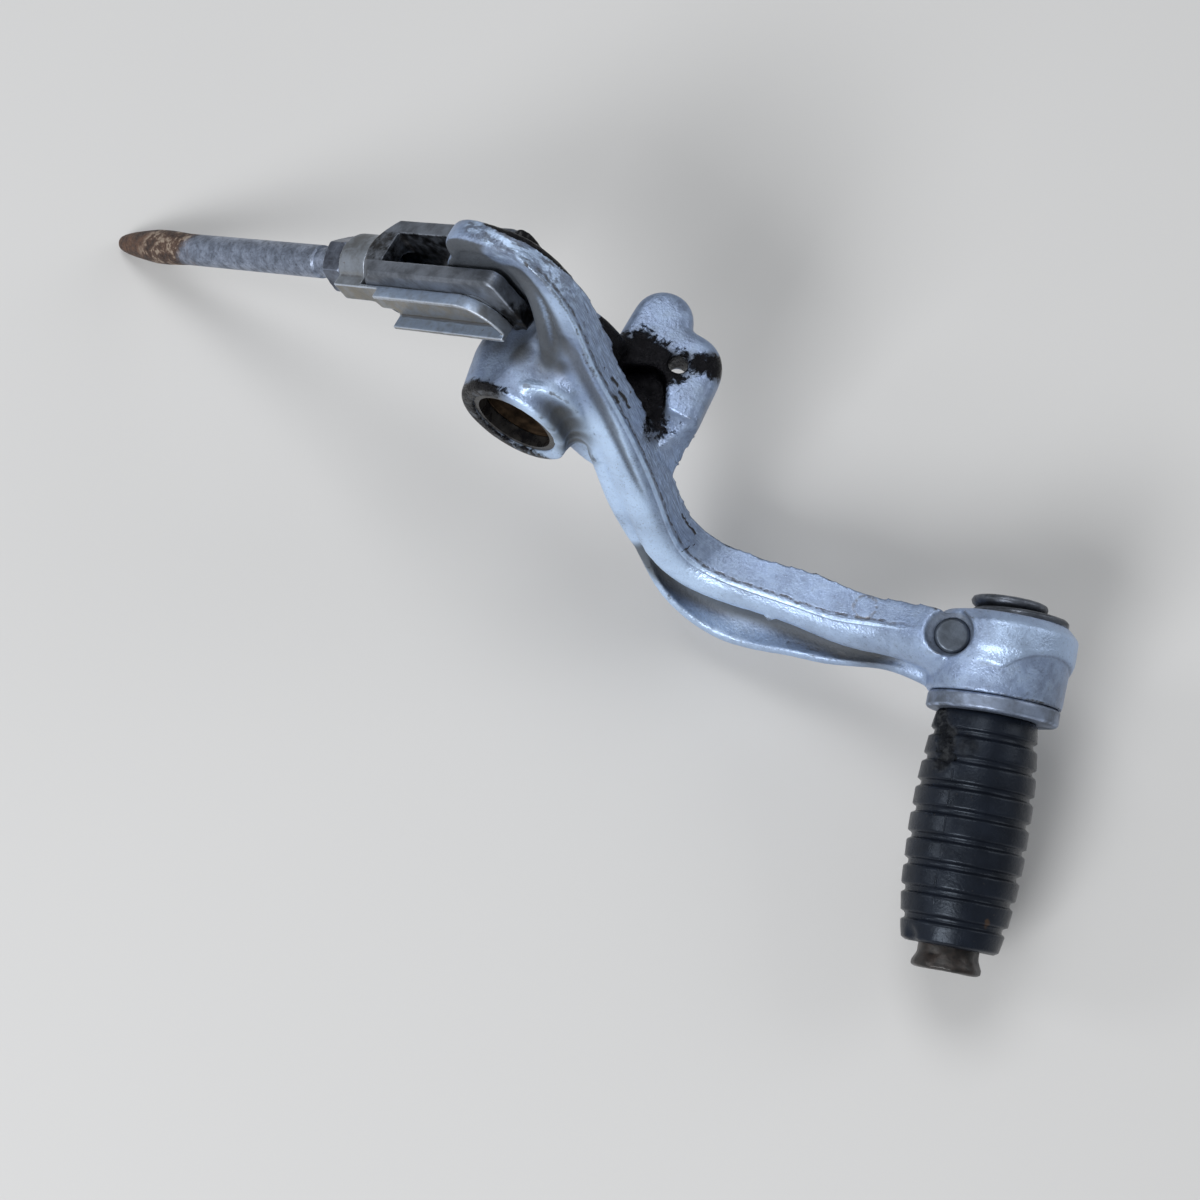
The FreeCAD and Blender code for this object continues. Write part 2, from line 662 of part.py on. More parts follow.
def make_claw():
    """Open ring of the clip round the neck of the fork, with its joining tab."""
    r_in = fork_neck_r + clip_gap
    r_out = r_in + clip_sheet
    along = Vector(1, 0, 0)
    start = Vector(clip_claw_x, 0, 0)
    ring = Part.makeCylinder(r_out, clip_claw_width, start, along)
    bore = Part.makeCylinder(r_in, clip_claw_width, start, along)
    reach = 3 * r_out
    mouth = [Vector(clip_claw_x - 1, 0, 0)]
    for share in (-0.5, 0.0, 0.5):
        a = math.radians(clip_claw_mouth + share * clip_claw_open)
        mouth.append(Vector(clip_claw_x - 1, reach * math.cos(a), reach * math.sin(a)))
    wedge = Part.Face(wire_of(mouth)).extrude(Vector(clip_claw_width + 2, 0, 0))
    outer_y = -fork_width / 2 - clip_gap - clip_sheet
    tab_low = clip_bottom + 5.2
    tab = Part.makeBox(clip_claw_width, -outer_y, clip_top - tab_low, Vector(clip_claw_x, outer_y, tab_low))
    return ring.cut(wedge).fuse(tab).cut(bore)


def core_start():
    """Distance outboard along the peg at which the rubber begins."""
    return eye_height_out + collar_gap + collar_thickness


def make_stem():
    """Peg stem: head, shank in the eye, core of the rubber and rusted flare."""
    washer_low = -eye_height_in - washer_thickness
    neck_r = stem_neck_r
    head = turned([
        (0, washer_low - stem_head_height), (stem_head_r - 1.2, washer_low - stem_head_height),
        (stem_head_r - 0.3, washer_low - stem_head_height + 0.4), (stem_head_r, washer_low - stem_head_height + 1.2),
        (stem_head_r - 0.3, washer_low - stem_head_height + 2.0), (stem_head_r - 1.6, washer_low), (neck_r, washer_low),
        (neck_r, 0), (0, 0),
    ])
    start = core_start()
    shank = turned([(0, -eye_height_in), (stem_r, -eye_height_in), (stem_r, start - 1.0), (stem_r - 1.0, start),
                    (0, start)])
    rubber_end = start + rubber_ribs * rubber_pitch
    end = rubber_end + stem_flare_length
    core = turned([
        (0, start - 2.0), (stem_tip_r, start - 2.0), (stem_tip_r, rubber_end + 1.0),
        (stem_flare_r, end - 1.4), (stem_flare_r, end - 0.4), (stem_flare_r - 0.8, end), (0, end),
    ])
    core.translate(Vector(core_offset, 0, 0))
    stem = shank.fuse(head).fuse(core)
    up = lock_axis_up()
    notch = Part.makeCylinder(lock_pin_r, 4 * stem_r, Vector(lock_pin_offset, up * 2 * stem_r, -lock_pin_along),
                              Vector(0, -up, 0))
    return stem.cut(notch).removeSplitter()


def make_washer():
    """Washer with its hole off centre, between the stem head and the eye."""
    low = -eye_height_in - washer_thickness
    washer = turned([(0, low), (washer_r - 0.6, low), (washer_r, low + 0.6), (washer_r, -eye_height_in),
                     (0, -eye_height_in)])
    washer.translate(Vector(-washer_offset, 0, 0))
    hole = Part.makeCylinder(stem_neck_r + collar_fit, 3 * washer_thickness, Vector(0, 0, low - washer_thickness))
    return washer.cut(hole)


def make_collar():
    """Loose alloy collar between the eye and the rubber."""
    start = eye_height_out + collar_gap
    end = start + collar_thickness
    inner = stem_r + collar_fit
    c = 0.5
    return turned([(inner, start), (collar_r - c, start), (collar_r, start + c), (collar_r, end - c),
                   (collar_r - c, end), (inner, end)])


def rubber_r(share):
    """Outer radius of the barrel shaped rubber at a share of its length."""
    if share < 0.5:
        k = (0.5 - share) / 0.5
        return rubber_mid_r - (rubber_mid_r - rubber_top_r) * k ** 2.2
    k = (share - 0.5) / 0.5
    return rubber_mid_r - (rubber_mid_r - rubber_end_r) * k ** 2.6


def make_rubber():
    """Ribbed rubber sleeve, with a groove between each rib and the next."""
    start = core_start()
    length = rubber_ribs * rubber_pitch
    edge = 0.5
    inner = stem_tip_r + rubber_fit
    profile = [(inner, start)]
    for i in range(rubber_ribs):
        z0 = start + i * rubber_pitch
        z1 = z0 + rubber_pitch - (rubber_groove if i < rubber_ribs - 1 else 0)
        r0 = rubber_r((z0 - start) / length)
        r1 = rubber_r((z1 - start) / length)
        deep = min(r0, r1) - rubber_groove_depth
        if i:
            profile.append((deep, z0 - 0.1))
        profile += [(r0 - edge, z0), (r0, z0 + edge), (r1, z1 - edge), (r1 - edge, z1)]
        if i < rubber_ribs - 1:
            profile.append((deep, z1 + 0.1))
    profile.append((inner, start + length))
    rubber = turned(profile)
    rubber.translate(Vector(core_offset, 0, 0))
    return rubber


def make_lock_pin():
    """Lock pin in its hole, with its hammered face in the recess."""
    up = lock_axis_up()
    top = lock_recess_height + lock_pin_stand
    pin = Part.makeCylinder(lock_pin_r, lock_pin_length, Vector(lock_pin_offset, up * top, -lock_pin_along),
                            Vector(0, -up, 0))
    return pin.makeChamfer(lock_pin_dome, [e for e in pin.Edges if e.Length > lock_pin_r * 6])


def main():
    fork = fork_frame()
    peg = peg_frame()
    bush_out, bush_in = make_bushes()
    seal_out, seal_in = make_seals()
    nodes = {
        "pedal_arm": make_pedal_arm(),
        "pivot_bush_outer": bush_out,
        "pivot_bush_inner": bush_in,
        "pivot_seal_outer": seal_out,
        "pivot_seal_inner": seal_in,
        "clevis_fork": placed(make_fork(), fork),
        "clevis_pin": placed(make_clevis_pin(), fork),
        "clevis_clip": placed(make_clip(), fork),
        "lock_nut": placed(make_nut(), fork),
        "push_rod": placed(make_rod(), fork),
        "peg_stem": placed(make_stem(), peg),
        "peg_washer": placed(make_washer(), peg),
        "peg_collar": placed(make_collar(), peg),
        "peg_rubber": placed(make_rubber(), peg),
        "peg_lock_pin": placed(make_lock_pin(), peg),
    }
    for name, shape in nodes.items():
        shape.exportStep("parts/%s.step" % name)
        print(name, "solids", len(shape.Solids), "valid", shape.isValid(), "volume %.1f" % shape.Volume)


main()
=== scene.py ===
import math

import bmesh
import bpy
import numpy as np
from mathutils import Matrix, Vector, noise
from mathutils.bvhtree import BVHTree
from mathutils.kdtree import KDTree


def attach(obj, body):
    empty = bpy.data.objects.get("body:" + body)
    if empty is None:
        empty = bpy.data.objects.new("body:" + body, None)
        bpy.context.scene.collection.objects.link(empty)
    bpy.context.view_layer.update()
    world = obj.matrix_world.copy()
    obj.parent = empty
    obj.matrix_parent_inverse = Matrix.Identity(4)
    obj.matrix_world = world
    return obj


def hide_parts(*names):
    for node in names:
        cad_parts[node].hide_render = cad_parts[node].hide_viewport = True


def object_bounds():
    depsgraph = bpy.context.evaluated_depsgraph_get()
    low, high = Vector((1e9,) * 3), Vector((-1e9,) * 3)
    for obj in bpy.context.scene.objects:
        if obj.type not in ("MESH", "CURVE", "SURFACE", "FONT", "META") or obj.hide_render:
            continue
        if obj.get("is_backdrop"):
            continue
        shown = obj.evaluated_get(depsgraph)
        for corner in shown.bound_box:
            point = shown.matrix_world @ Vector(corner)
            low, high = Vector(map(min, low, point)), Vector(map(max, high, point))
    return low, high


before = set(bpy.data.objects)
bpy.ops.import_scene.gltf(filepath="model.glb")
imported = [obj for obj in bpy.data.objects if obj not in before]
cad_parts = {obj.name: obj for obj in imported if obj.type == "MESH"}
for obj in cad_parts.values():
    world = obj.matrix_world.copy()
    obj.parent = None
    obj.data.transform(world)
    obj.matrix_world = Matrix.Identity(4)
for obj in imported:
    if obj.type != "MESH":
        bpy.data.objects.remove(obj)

bl_info = {
    "name": "Rear brake pedal",
    "version": (1, 0, 0),
    "blender": (4, 5, 0),
    "location": "3D View > Sidebar > Brake Pedal",
    "description": "Worn finishes and fine shapes for a cast rear brake pedal",
    "category": "Object",
}

# The frame is in metres: X forward to the toe peg, Y inboard along the pivot, Z up.
MM = 0.001
PEG_EYE = Vector((121.8, -1.55, -27.3)) * MM
PEG_FORWARD = math.radians(17.8)
PEG_DOWN = math.radians(13.6)
FORK_PIN = Vector((-14.8, 6, 23)) * MM
ROD_ANGLE = math.radians(36)

SHARP = 0.5  # radians: an edge that bends by more is kept sharp in a skin
SHARP_STEP = 0.15 * MM  # between the points that stand for a sharp edge
SNAP_SHARE = 0.7  # of a skin's step: how far a point is drawn to a sharp edge
WELD = 0.002 * MM  # points of a mesh that are closer become one

# Tones of paint, dirt, painted shade and painted highlight, rust and rubber that are no settings.
TONES = {
    "crown": (0.06, 0.062, 0.068), "lip": (0.075, 0.08, 0.095), "chip": (0.04, 0.042, 0.048),
    "dirt": (0.085, 0.088, 0.085), "step": (0.095, 0.104, 0.12), "shade": (0.042, 0.045, 0.046),
    "scuff": (0.085, 0.09, 0.1), "ring": (0.16, 0.165, 0.18), "crack": (0.012, 0.012, 0.014),
    "smear": (0.075, 0.08, 0.09), "grease": (0.006, 0.006, 0.008), "pale zinc": (0.36, 0.45, 0.6),
    "tan zinc": (0.23, 0.215, 0.185), "grime": (0.022, 0.021, 0.02),
    "rust spot": (0.06, 0.03, 0.019), "scale": (0.006, 0.005, 0.005),
    "brown scale": (0.022, 0.016, 0.014), "oil": (0.01, 0.01, 0.011),
    "rod dark": (0.15, 0.178, 0.235), "rod light": (0.36, 0.42, 0.55),
    "rod pit": (0.03, 0.033, 0.042), "rust dark": (0.028, 0.017, 0.014),
    "rust light": (0.10, 0.052, 0.032), "rust pit": (0.014, 0.01, 0.01),
    "bare flake": (0.3, 0.25, 0.2), "rod tip": (0.17, 0.105, 0.08),
    "torn dark": (0.003, 0.003, 0.004), "torn light": (0.024, 0.025, 0.027),
    "cut": (0.001, 0.001, 0.001), "brown spot": (0.05, 0.03, 0.017),
    "bronze dark": (0.028, 0.02, 0.014), "bronze light": (0.115, 0.075, 0.045),
    "bronze ring": (0.03, 0.02, 0.014), "seal dark": (0.006, 0.006, 0.007),
    "seal light": (0.03, 0.028, 0.026),
}
# Finishes of steel and bare alloy: light tone, dark tone, roughness and rust.
STEELS = {
    "fork": ((0.19, 0.215, 0.26), (0.075, 0.084, 0.1), 0.45, 0),
    "zinc": ((0.28, 0.315, 0.37), (0.12, 0.128, 0.135), 0.42, 0.03),
    "nut": ((0.15, 0.175, 0.23), (0.035, 0.04, 0.055), 0.42, 0),
    "peg": ((0.12, 0.135, 0.165), (0.04, 0.045, 0.053), 0.38, 0),
    "collar": ((0.25, 0.305, 0.42), (0.11, 0.13, 0.165), 0.46, 0),
    "lock": ((0.12, 0.145, 0.185), (0.05, 0.06, 0.075), 0.45, 0),
}
# Marks drawn as strokes: start, end and half width in millimetres.
CRACKS = [
    ((40.6, -7, -23.2), (42.6, -7.4, -26.4), 0.42),
    ((42.6, -7.4, -26.4), (44.8, -7.7, -28.8), 0.42),
    ((43.9, -13.1, -29.1), (45.6, -9.8, -29.9), 0.26), ((17.4, 0.5, 14.1), (18.9, 0.3, 11.6), 0.55),
    ((19.8, -0.4, 10.4), (21.4, -0.4, 8.3), 0.75), ((21.4, -0.4, 8.3), (22.6, -1.1, 6.3), 0.5),
    ((19.2, -2, 11.6), (20.6, -2.1, 9.3), 0.6), ((33.4, -15.6, -29.5), (34.2, -15.6, -30.6), 0.3)]
SCUFFS = [
    ((75, -15.8, -44.6), (84, -14.4, -42.8), 1), ((84, -14.4, -43.6), (92.5, -13.7, -40.2), 1.5),
    ((54, -14, -33.6), (57, -12.2, -33.2), 0.9), ((95, -12, -37), (99, -11.4, -35.6), 0.5)]
CUTS = [
    ((118.6, -25, -24.6), (119.8, -26.2, -23.6), 1),
    ((119.8, -26.2, -23.6), (123.2, -30.5, -23.6), 0.45),
    ((118.4, -29, -26.6), (119.2, -31, -26.2), 0.4)]
SEAM = [
    ((123.8, -33.1, -23), (128.6, -47, -26.2), 0.32),
    ((128.6, -47, -26.2), (133.6, -62, -30.6), 0.32)]
BROWN_SPOT = [((145.8, -58.6, -31), (146.6, -59.6, -32.6), 0.8)]
# The faint ring on the top band: its centre in millimetres, its radius in metres.
RING_CENTRE = Vector((88.5, -6.1, -26.2)) * MM
RING_RADIUS = 0.0028


def placed(spot, *axes):
    """A matrix at a spot, with the given axes as its X, Y and Z."""
    return Matrix.Translation(spot) @ Matrix(axes).transposed().to_4x4()


def peg_axes():
    """Matrix of the peg: its Z runs outboard along the peg, its X to the rear."""
    level = math.cos(PEG_DOWN)
    out = Vector((math.sin(PEG_FORWARD) * level, -math.cos(PEG_FORWARD) * level,
                  -math.sin(PEG_DOWN)))
    rear = Vector((-1, 0, 0))
    rear = (rear - out * rear.dot(out)).normalized()
    return placed(PEG_EYE, rear, out.cross(rear), out)


class Value:
    """An output of a node, with which one reckons as with a number."""

    def __init__(self, graph, socket):
        self.graph, self.socket = graph, socket

    def __add__(self, other):
        return self.graph.math('ADD', self, other)

    def __sub__(self, other):
        return self.graph.math('SUBTRACT', self, other)

    def __rsub__(self, other):
        return self.graph.math('SUBTRACT', other, self)

    def __mul__(self, other):
        return self.graph.math('MULTIPLY', self, other)

    def __abs__(self):
        return self.graph.math('ABSOLUTE', self)


class Graph:
    """Short calls that add nodes to one tree and link them."""

    def __init__(self, tree):
        self.tree = tree

    def add(self, kind, given, **settings):
        """A new node, with its inputs given by name or number."""
        node = self.tree.nodes.new(kind)
        for name, setting in settings.items():
            setattr(node, name, setting)
        for key, content in given.items():
            self.feed(node.inputs[key], content)
        return node

    def value(self, kind, given, output=0, **settings):
        """An output of a new node."""
        return Value(self, self.add(kind, given, **settings).outputs[output])

    def feed(self, socket, content):
        if isinstance(content, Value):
            self.tree.links.new(content.socket, socket)
        else:
            socket.default_value = content

    def math(self, operation, a, b=0, clamp=False):
        return self.value("ShaderNodeMath", {0: a, 1: b}, operation=operation, use_clamp=clamp)

    def most(self, first, *others):
        """The largest of some values."""
        for other in others:
            first = self.math('MAXIMUM', first, other)
        return first

    def choose(self, test, yes, no):
        """The one value where the test is 1, the other where it is 0."""
        return test * yes + (1 - test) * no

    def fade(self, value, low, high, to_low=0, to_high=1):
        """The value eased from low to high into the range to_low to to_high."""
        given = {"Value": value, "From Min": low, "From Max": high,
                 "To Min": to_low, "To Max": to_high}
        return self.value("ShaderNodeMapRange", given, interpolation_type='SMOOTHSTEP')

    def vector(self, x, y, z=0):
        return self.value("ShaderNodeCombineXYZ", {0: x, 1: y, 2: z})


class Finish(Graph):
    """A material on object coordinates, in metres, with its shader at hand."""

    def __init__(self, name):
        self.material = bpy.data.materials.new(name)
        self.material.use_nodes = True
        super().__init__(self.material.node_tree)
        self.shader = self.tree.nodes["Principled BSDF"]
        self.place = self.value("ShaderNodeTexCoord", {}, "Object")

    def noise(self, scale, detail=4, roughness=0.6, warp=0, place=None):
        given = {"Vector": place or self.place, "Scale": scale, "Detail": detail,
                 "Roughness": roughness, "Distortion": warp}
        return self.value("ShaderNodeTexNoise", given)

    def stretched(self, scale, turn=(0, 0, 0)):
        """Object coordinates, turned and scaled."""
        given = {"Vector": self.place, "Rotation": turn, "Scale": scale}
        return self.value("ShaderNodeMapping", given, vector_type='POINT')

    def attribute(self, name):
        return self.value("ShaderNodeAttribute", {}, "Fac", attribute_name=name)

    def vectors(self, operation, a, b=None):
        """A vector reckoned from one or two others, or scaled by a number."""
        output = "Value" if operation in ('DOT_PRODUCT', 'LENGTH') else "Vector"
        given = {0: a}
        if b is not None:
            given["Scale" if operation == 'SCALE' else 1] = b
        return self.value("ShaderNodeVectorMath", given, output, operation=operation)

    def shaken(self, scale, amount):
        """Object coordinates pushed about by noise, for ragged outlines."""
        given = {"Vector": self.place, "Scale": scale, "Detail": 3}
        color = self.value("ShaderNodeTexNoise", given, "Color")
        push = self.vectors('SUBTRACT', color, (0.5, 0.5, 0.5))
        return self.vectors('ADD', self.place, self.vectors('SCALE', push, amount))

    def line(self, place, start, end):
        """Distance in metres from the straight line between two places in millimetres."""
        start, end = Vector(start) * MM, Vector(end) * MM
        off = self.vectors('SUBTRACT', place, start)
        passed = self.vectors('DOT_PRODUCT', off, end - start)
        share = self.math('DIVIDE', passed, (end - start).length_squared, clamp=True)
        foot = self.vectors('SCALE', end - start, share)
        return self.vectors('LENGTH', self.vectors('SUBTRACT', off, foot))

    def strokes(self, place, lines):
        """1 on the strokes, each given by its start, its end and half its width in millimetres."""
        return self.most(*[self.fade(self.line(place, start, end), half * MM, half * MM * 0.35)
                           for start, end, half in lines])

    def mix(self, share, a, b):
        """Two colours mixed; a colour is an output, the name of a tone or three numbers."""
        given = {"Factor": share}
        for key, color in ((6, a), (7, b)):
            if isinstance(color, str):
                color = TONES[color]
            given[key] = color if isinstance(color, Value) else (*color, 1)
        return self.value("ShaderNodeMix", given, 2, data_type='RGBA')

    def layered(self, color, *layers):
        """A colour under others, each of which comes with its share."""
        for share, over in layers:
            color = self.mix(share, color, over)
        return color

    def blend(self, share, a, b):
        return self.value("ShaderNodeMix", {"Factor": share, 2: a, 3: b}, data_type='FLOAT')

    def done(self, relief=(), **values):
        """Feeds the shader, and its bump with heights that each come with millimetres."""
        for name, value in values.items():
            self.feed(self.shader.inputs[name.replace("_", " ")], value)
        total = 0
        for height, amount in relief:
            total = height * (amount * MM) + total
        if relief:
            given = {"Strength": 1, "Distance": 1, "Height": total}
            self.feed(self.shader.inputs["Normal"], self.value("ShaderNodeBump", given))
        return self.material


def silver_paint(settings):
    """Silver paint on rough cast alloy, worn on its edges and greasy in hollows, with painted shade
    and painted highlights.
    """
    f = Finish("silver_paint")
    names = "edge hollow grease clean band rim step shade rubbed across run".split()
    edge, hollow, grease, clean, band, rim, *others = map(f.attribute, names)
    step, shade, rubbed, across, run = others
    cloud = f.noise(60, 5)
    patchy = f.noise(300)
    grain = f.noise(1700, 3)
    speck = f.noise(1000, 2, 0.5)
    pores = f.fade(f.noise(2300, 2, 0.5), 0.6, 0.72, 0, 0.45)
    wisp = f.noise(480, 6, 0.72, warp=0.6)
    streak = f.noise(1, place=f.vector(across * 2.2, run * 0.16))
    hair = f.noise(1, 2, 0.5, place=f.vector(across * 7, run * 0.35, 4))
    chip = f.noise(1, 3, place=f.vector(across * 0.95, run * 0.42, 9))
    # The long streaks of the top band, and the short ones where the crown is rubbed.
    worn = f.layered(f.mix(f.fade(streak, 0.35, 0.68), settings.shade, settings.paint),
                     (f.fade(hair, 0.47, 0.68, 0, 0.6), settings.bright),
                     (f.fade(hair, 0.42, 0.3, 0, 0.4), settings.dust))
    crown = f.noise(620, 5, 0.65, place=f.stretched((0.22, 1, 1), (0, -0.6, 0)))
    crown = f.mix(f.fade(crown, 0.44, 0.6), "crown", settings.bright)
    # The bright bead of the worn edge, partly worn paint and partly a painted highlight, and the
    # dark lip of paint that flakes beside it.
    bead = f.fade(abs(across + 0.15), 0.75, 0.3) * rim
    lip = f.fade(abs(across + (patchy - 0.5) * 1.5 - 1), 0.5, 0.12) * rim
    lip = lip * f.fade(chip, 0.4, 0.56, 0.25, 0.9)
    chipped = f.most(f.fade(edge, 0.3, 0.75) * f.fade(patchy, 0.56, 0.63),
                     band * f.fade(chip, 0.66, 0.7))
    dirt = f.fade(hollow * 0.55 + patchy * 0.5, 0.48, 0.95, 0, 0.75)
    shaky = f.shaken(700, 0.0011)
    scuffed = f.strokes(shaky, SCUFFS) * f.fade(patchy, 0.42, 0.6, 0.15, 0.9)
    cracks = f.strokes(shaky, CRACKS)
    ring = f.vectors('LENGTH', f.vectors('SUBTRACT', shaky, RING_CENTRE)) - RING_RADIUS
    ring = f.fade(abs(ring), 0.0007, 0.0001, 0, 0.6) * f.fade(speck, 0.38, 0.55)
    oily = f.fade(grease + (wisp - 0.5) * 1.6, 0.26, 0.46)
    paint = f.layered(
        f.mix(f.fade(cloud, 0.3, 0.72), settings.shade, settings.paint),
        (f.fade(patchy, 0.4, 0.75, 0, 0.3), settings.bright),
        # Painted highlight: the bright paint where the arm marks it, with fewer specks there.
        (clean * f.fade(cloud, 0.25, 0.6, 0.55, 1), settings.bright),
        (f.fade(speck, 0.58, 0.72, 0, 0.28) * f.fade(clean, 1, 0), settings.dust),
        (pores * f.fade(cloud, 0.7, 0.3, 0.4, 1), settings.dust),
        (band * f.fade(cloud, 0.3, 0.7, 0.95, 0.7), worn),
        (rubbed * f.fade(patchy, 0.3, 0.7, 0.3, 0.8), crown),
        (bead * f.fade(patchy, 0.3, 0.55, 0.3, 0.85), settings.bright),
        (lip, "lip"),
        (f.fade(edge + patchy * 0.9, 0.85, 1.25, 0, 0.8), settings.bare),
        (chipped, "chip"),
        (dirt, "dirt"),
        # Painted shade in the channel below the worn edge.
        (f.fade(step + (patchy - 0.5) * 0.5, 0.15, 0.95, 0, 0.75), "step"),
        # Painted shade, darkest where the shade mark is strongest.
        (f.fade(shade + (cloud - 0.5) * 0.35, 0.05, 0.95, 0, 0.93), "shade"),
        (scuffed, "scuff"), (ring, "ring"), (cracks, "crack"),
        (f.fade(grease + (patchy - 0.5) * 1.2, 0.05, 0.5, 0, 0.7), "smear"),
        (oily, "grease"))
    dull = f.most(dirt, shade, cracks, chipped)
    rough = f.blend(dull, f.fade(patchy, 0.3, 0.7, 0.34, 0.47), 0.62)
    relief = ((grain, 0.13), (patchy, 0.1), (speck, 0.1), (oily * wisp, 0.6), (band * hair, 0.03),
              (bead, 0.16), (lip, -0.14), (chipped, -0.1), (cracks, -0.25), (ring + scuffed, -0.12))
    return f.done(relief, Base_Color=paint,
                  Metallic=f.blend(oily, f.blend(dull, settings.metal, 0.1), 0.85),
                  Roughness=f.blend(oily, rough, f.fade(patchy, 0.35, 0.7, 0.15, 0.45)))


def worn_steel(name, light, dark, rough, rust):
    """Plated steel, bright on its edges, with fine scratches, stains, oil and a little rust."""
    f = Finish(name)
    names = "edge hollow grease pale tan rusted".split()
    edge, hollow, grease, pale, tan, rusted = map(f.attribute, names)
    stain = f.noise(170, 5)
    blot = f.noise(420, 5, 0.65)
    fine = f.noise(1800, 3)
    lines = f.noise(900, 2, 0.5, place=f.stretched((0.1, 1, 1), (0, ROD_ANGLE, 0)))
    grime = f.fade(hollow + blot * 0.5, 0.4, 0.9, 0, 0.85)
    spots = f.noise(330, 5, 0.7) + stain * 0.4
    spots = f.fade(spots, 0.92 - rust, 1.02 - rust, 0, float(rust > 0))
    oily = f.fade(grease + (blot - 0.5), 0.4, 0.75)
    color = f.layered(
        f.mix(f.fade(stain, 0.3, 0.7), dark, light),
        (f.fade(blot, 0.5, 0.75, 0, 0.5), dark),
        (f.fade(lines, 0.55, 0.68, 0, 0.3), light),
        # Painted highlight where the upward faces are marked.
        (pale * f.fade(blot, 0.3, 0.6, 0.45, 0.95), "pale zinc"),
        (tan * f.fade(blot, 0.35, 0.65, 0.4, 0.9), "tan zinc"),
        (f.fade(edge + blot * 0.5, 0.45, 1, 0, 0.75), [min(c * 1.9, 1) for c in light]),
        (grime, "grime"),
        (spots, "rust spot"),
        (rusted, f.mix(f.fade(blot, 0.4, 0.65), "scale", "brown scale")),
        (oily, "oil"))
    gloss = f.blend(grime, f.fade(stain, 0.3, 0.7, rough + 0.12, rough - 0.08), 0.7)
    return f.done(((fine, 0.04), (lines, 0.04), (blot, 0.06)), Base_Color=color,
                  Metallic=f.blend(f.most(rusted, grime, spots), 0.75, 0.1),
                  Roughness=f.blend(oily, gloss, 0.3))


def steel_finish(kind):
    """One of the steel finishes, made once."""
    found = bpy.data.materials.get("steel_" + kind)
    return found or worn_steel("steel_" + kind, *STEELS[kind])


def worn_rod():
    """Blue grey steel rod whose free end is scaled over with brown rust."""
    f = Finish("worn_rod")
    rod = Vector((math.cos(ROD_ANGLE), 0, math.sin(ROD_ANGLE)))
    back = FORK_PIN.dot(rod) - f.vectors('DOT_PRODUCT', f.place, rod)
    ragged = f.noise(140, 5, 0.65)
    mottle = f.noise(330, 5, 0.65)
    pits = f.noise(1300, 4, 0.7)
    edge = back + (ragged - 0.5) * 0.02
    rusty = f.fade(edge, 0.1085, 0.1165)
    flaked = f.fade(edge, 0.108, 0.114) * f.fade(edge, 0.133, 0.127)
    steel = f.layered(f.mix(f.fade(mottle, 0.3, 0.75), "rod dark", "rod light"),
                      (f.fade(pits, 0.45, 0.7, 0, 0.5), "rod pit"))
    rust = f.layered(f.mix(f.fade(mottle, 0.35, 0.65), "rust dark", "rust light"),
                     (f.fade(pits, 0.5, 0.75, 0, 0.4), "rust pit"),
                     (flaked * f.fade(mottle, 0.5, 0.6, 0, 0.75), "bare flake"),
                     (f.fade(back, 0.1475, 0.151), "rod tip"))
    gloss = f.blend(rusty, f.fade(mottle, 0.3, 0.7, 0.5, 0.34), f.fade(pits, 0.3, 0.7, 0.55, 0.9))
    return f.done(((pits, 0.09), (mottle, 0.1)), Base_Color=f.mix(rusty, steel, rust),
                  Metallic=f.blend(rusty, 0.9, 0.05), Roughness=gloss)


def old_rubber(settings):
    """Black rubber, shiny on the worn ribs, dusty in the grooves and torn at the collar."""
    f = Finish("old_rubber")
    crown, torn = f.attribute("crown"), f.attribute("torn")
    cloud = f.noise(110)
    blot = f.noise(420, 5, 0.65)
    fine = f.noise(1500, 4, 0.65)
    dust = f.fade(crown, 0.8, 0.2) * f.fade(blot * 0.7 + fine * 0.5, 0.52, 0.72, 0.1, 1)
    shaky = f.shaken(600, 0.0008)
    cuts = f.strokes(shaky, CUTS)
    rubber = f.layered(
        f.mix(f.fade(cloud, 0.3, 0.7), settings.rubber, settings.rubber_light),
        (f.fade(f.noise(1100, 2, 0.5), 0.7, 0.78, 0, 0.3), settings.dust),
        (dust, settings.dust),
        (torn, f.mix(f.fade(blot, 0.42, 0.6), "torn dark", "torn light")),
        (cuts, "cut"),
        (f.strokes(shaky, BROWN_SPOT) * 0.8, "brown spot"))
    relief = ((fine, 0.07), (cloud, 0.2), (blot * (torn + 0.06), 0.7), (cuts, -0.6),
              (f.strokes(f.place, SEAM), 0.15))
    gloss = f.blend(f.most(dust, torn), f.fade(blot, 0.3, 0.7, 0.26, 0.36), 0.85)
    return f.done(relief, Base_Color=rubber, Roughness=gloss, Metallic=0,
                  Specular_IOR_Level=0.27, Specular_Tint=(0.72, 0.84, 1, 1))


def bronze():
    """Brown bronze bush, stained by old grease."""
    f = Finish("bronze")
    stain = f.noise(240)
    rings = f.noise(900, 2, 0.5, place=f.stretched((0.1, 1, 0.1)))
    color = f.layered(f.mix(f.fade(stain, 0.35, 0.65), "bronze dark", "bronze light"),
                      (f.fade(rings, 0.45, 0.65, 0, 0.5), "bronze ring"))
    return f.done(((rings, 0.04),), Base_Color=color, Metallic=0.7,
                  Roughness=f.fade(stain, 0.3, 0.7, 0.32, 0.55))


def seal_black():
    """Black seal, wet with grease."""
    f = Finish("seal_black")
    cloud = f.noise(300)
    color = f.mix(f.fade(cloud, 0.35, 0.7), "seal dark", "seal light")
    return f.done(((cloud, 0.1),), Base_Color=color, Metallic=0,
                  Roughness=f.fade(cloud, 0.3, 0.7, 0.18, 0.42))


def plain_mesh(obj, name):
    """A plain mesh made from an object with its modifiers."""
    graph = bpy.context.evaluated_depsgraph_get()
    mesh = bpy.data.meshes.new_from_object(obj.evaluated_get(graph), depsgraph=graph)
    mesh.name = name
    return mesh


def linked(name, data):
    """A new object in the scene."""
    obj = bpy.data.objects.new(name, data)
    bpy.context.scene.collection.objects.link(obj)
    return obj


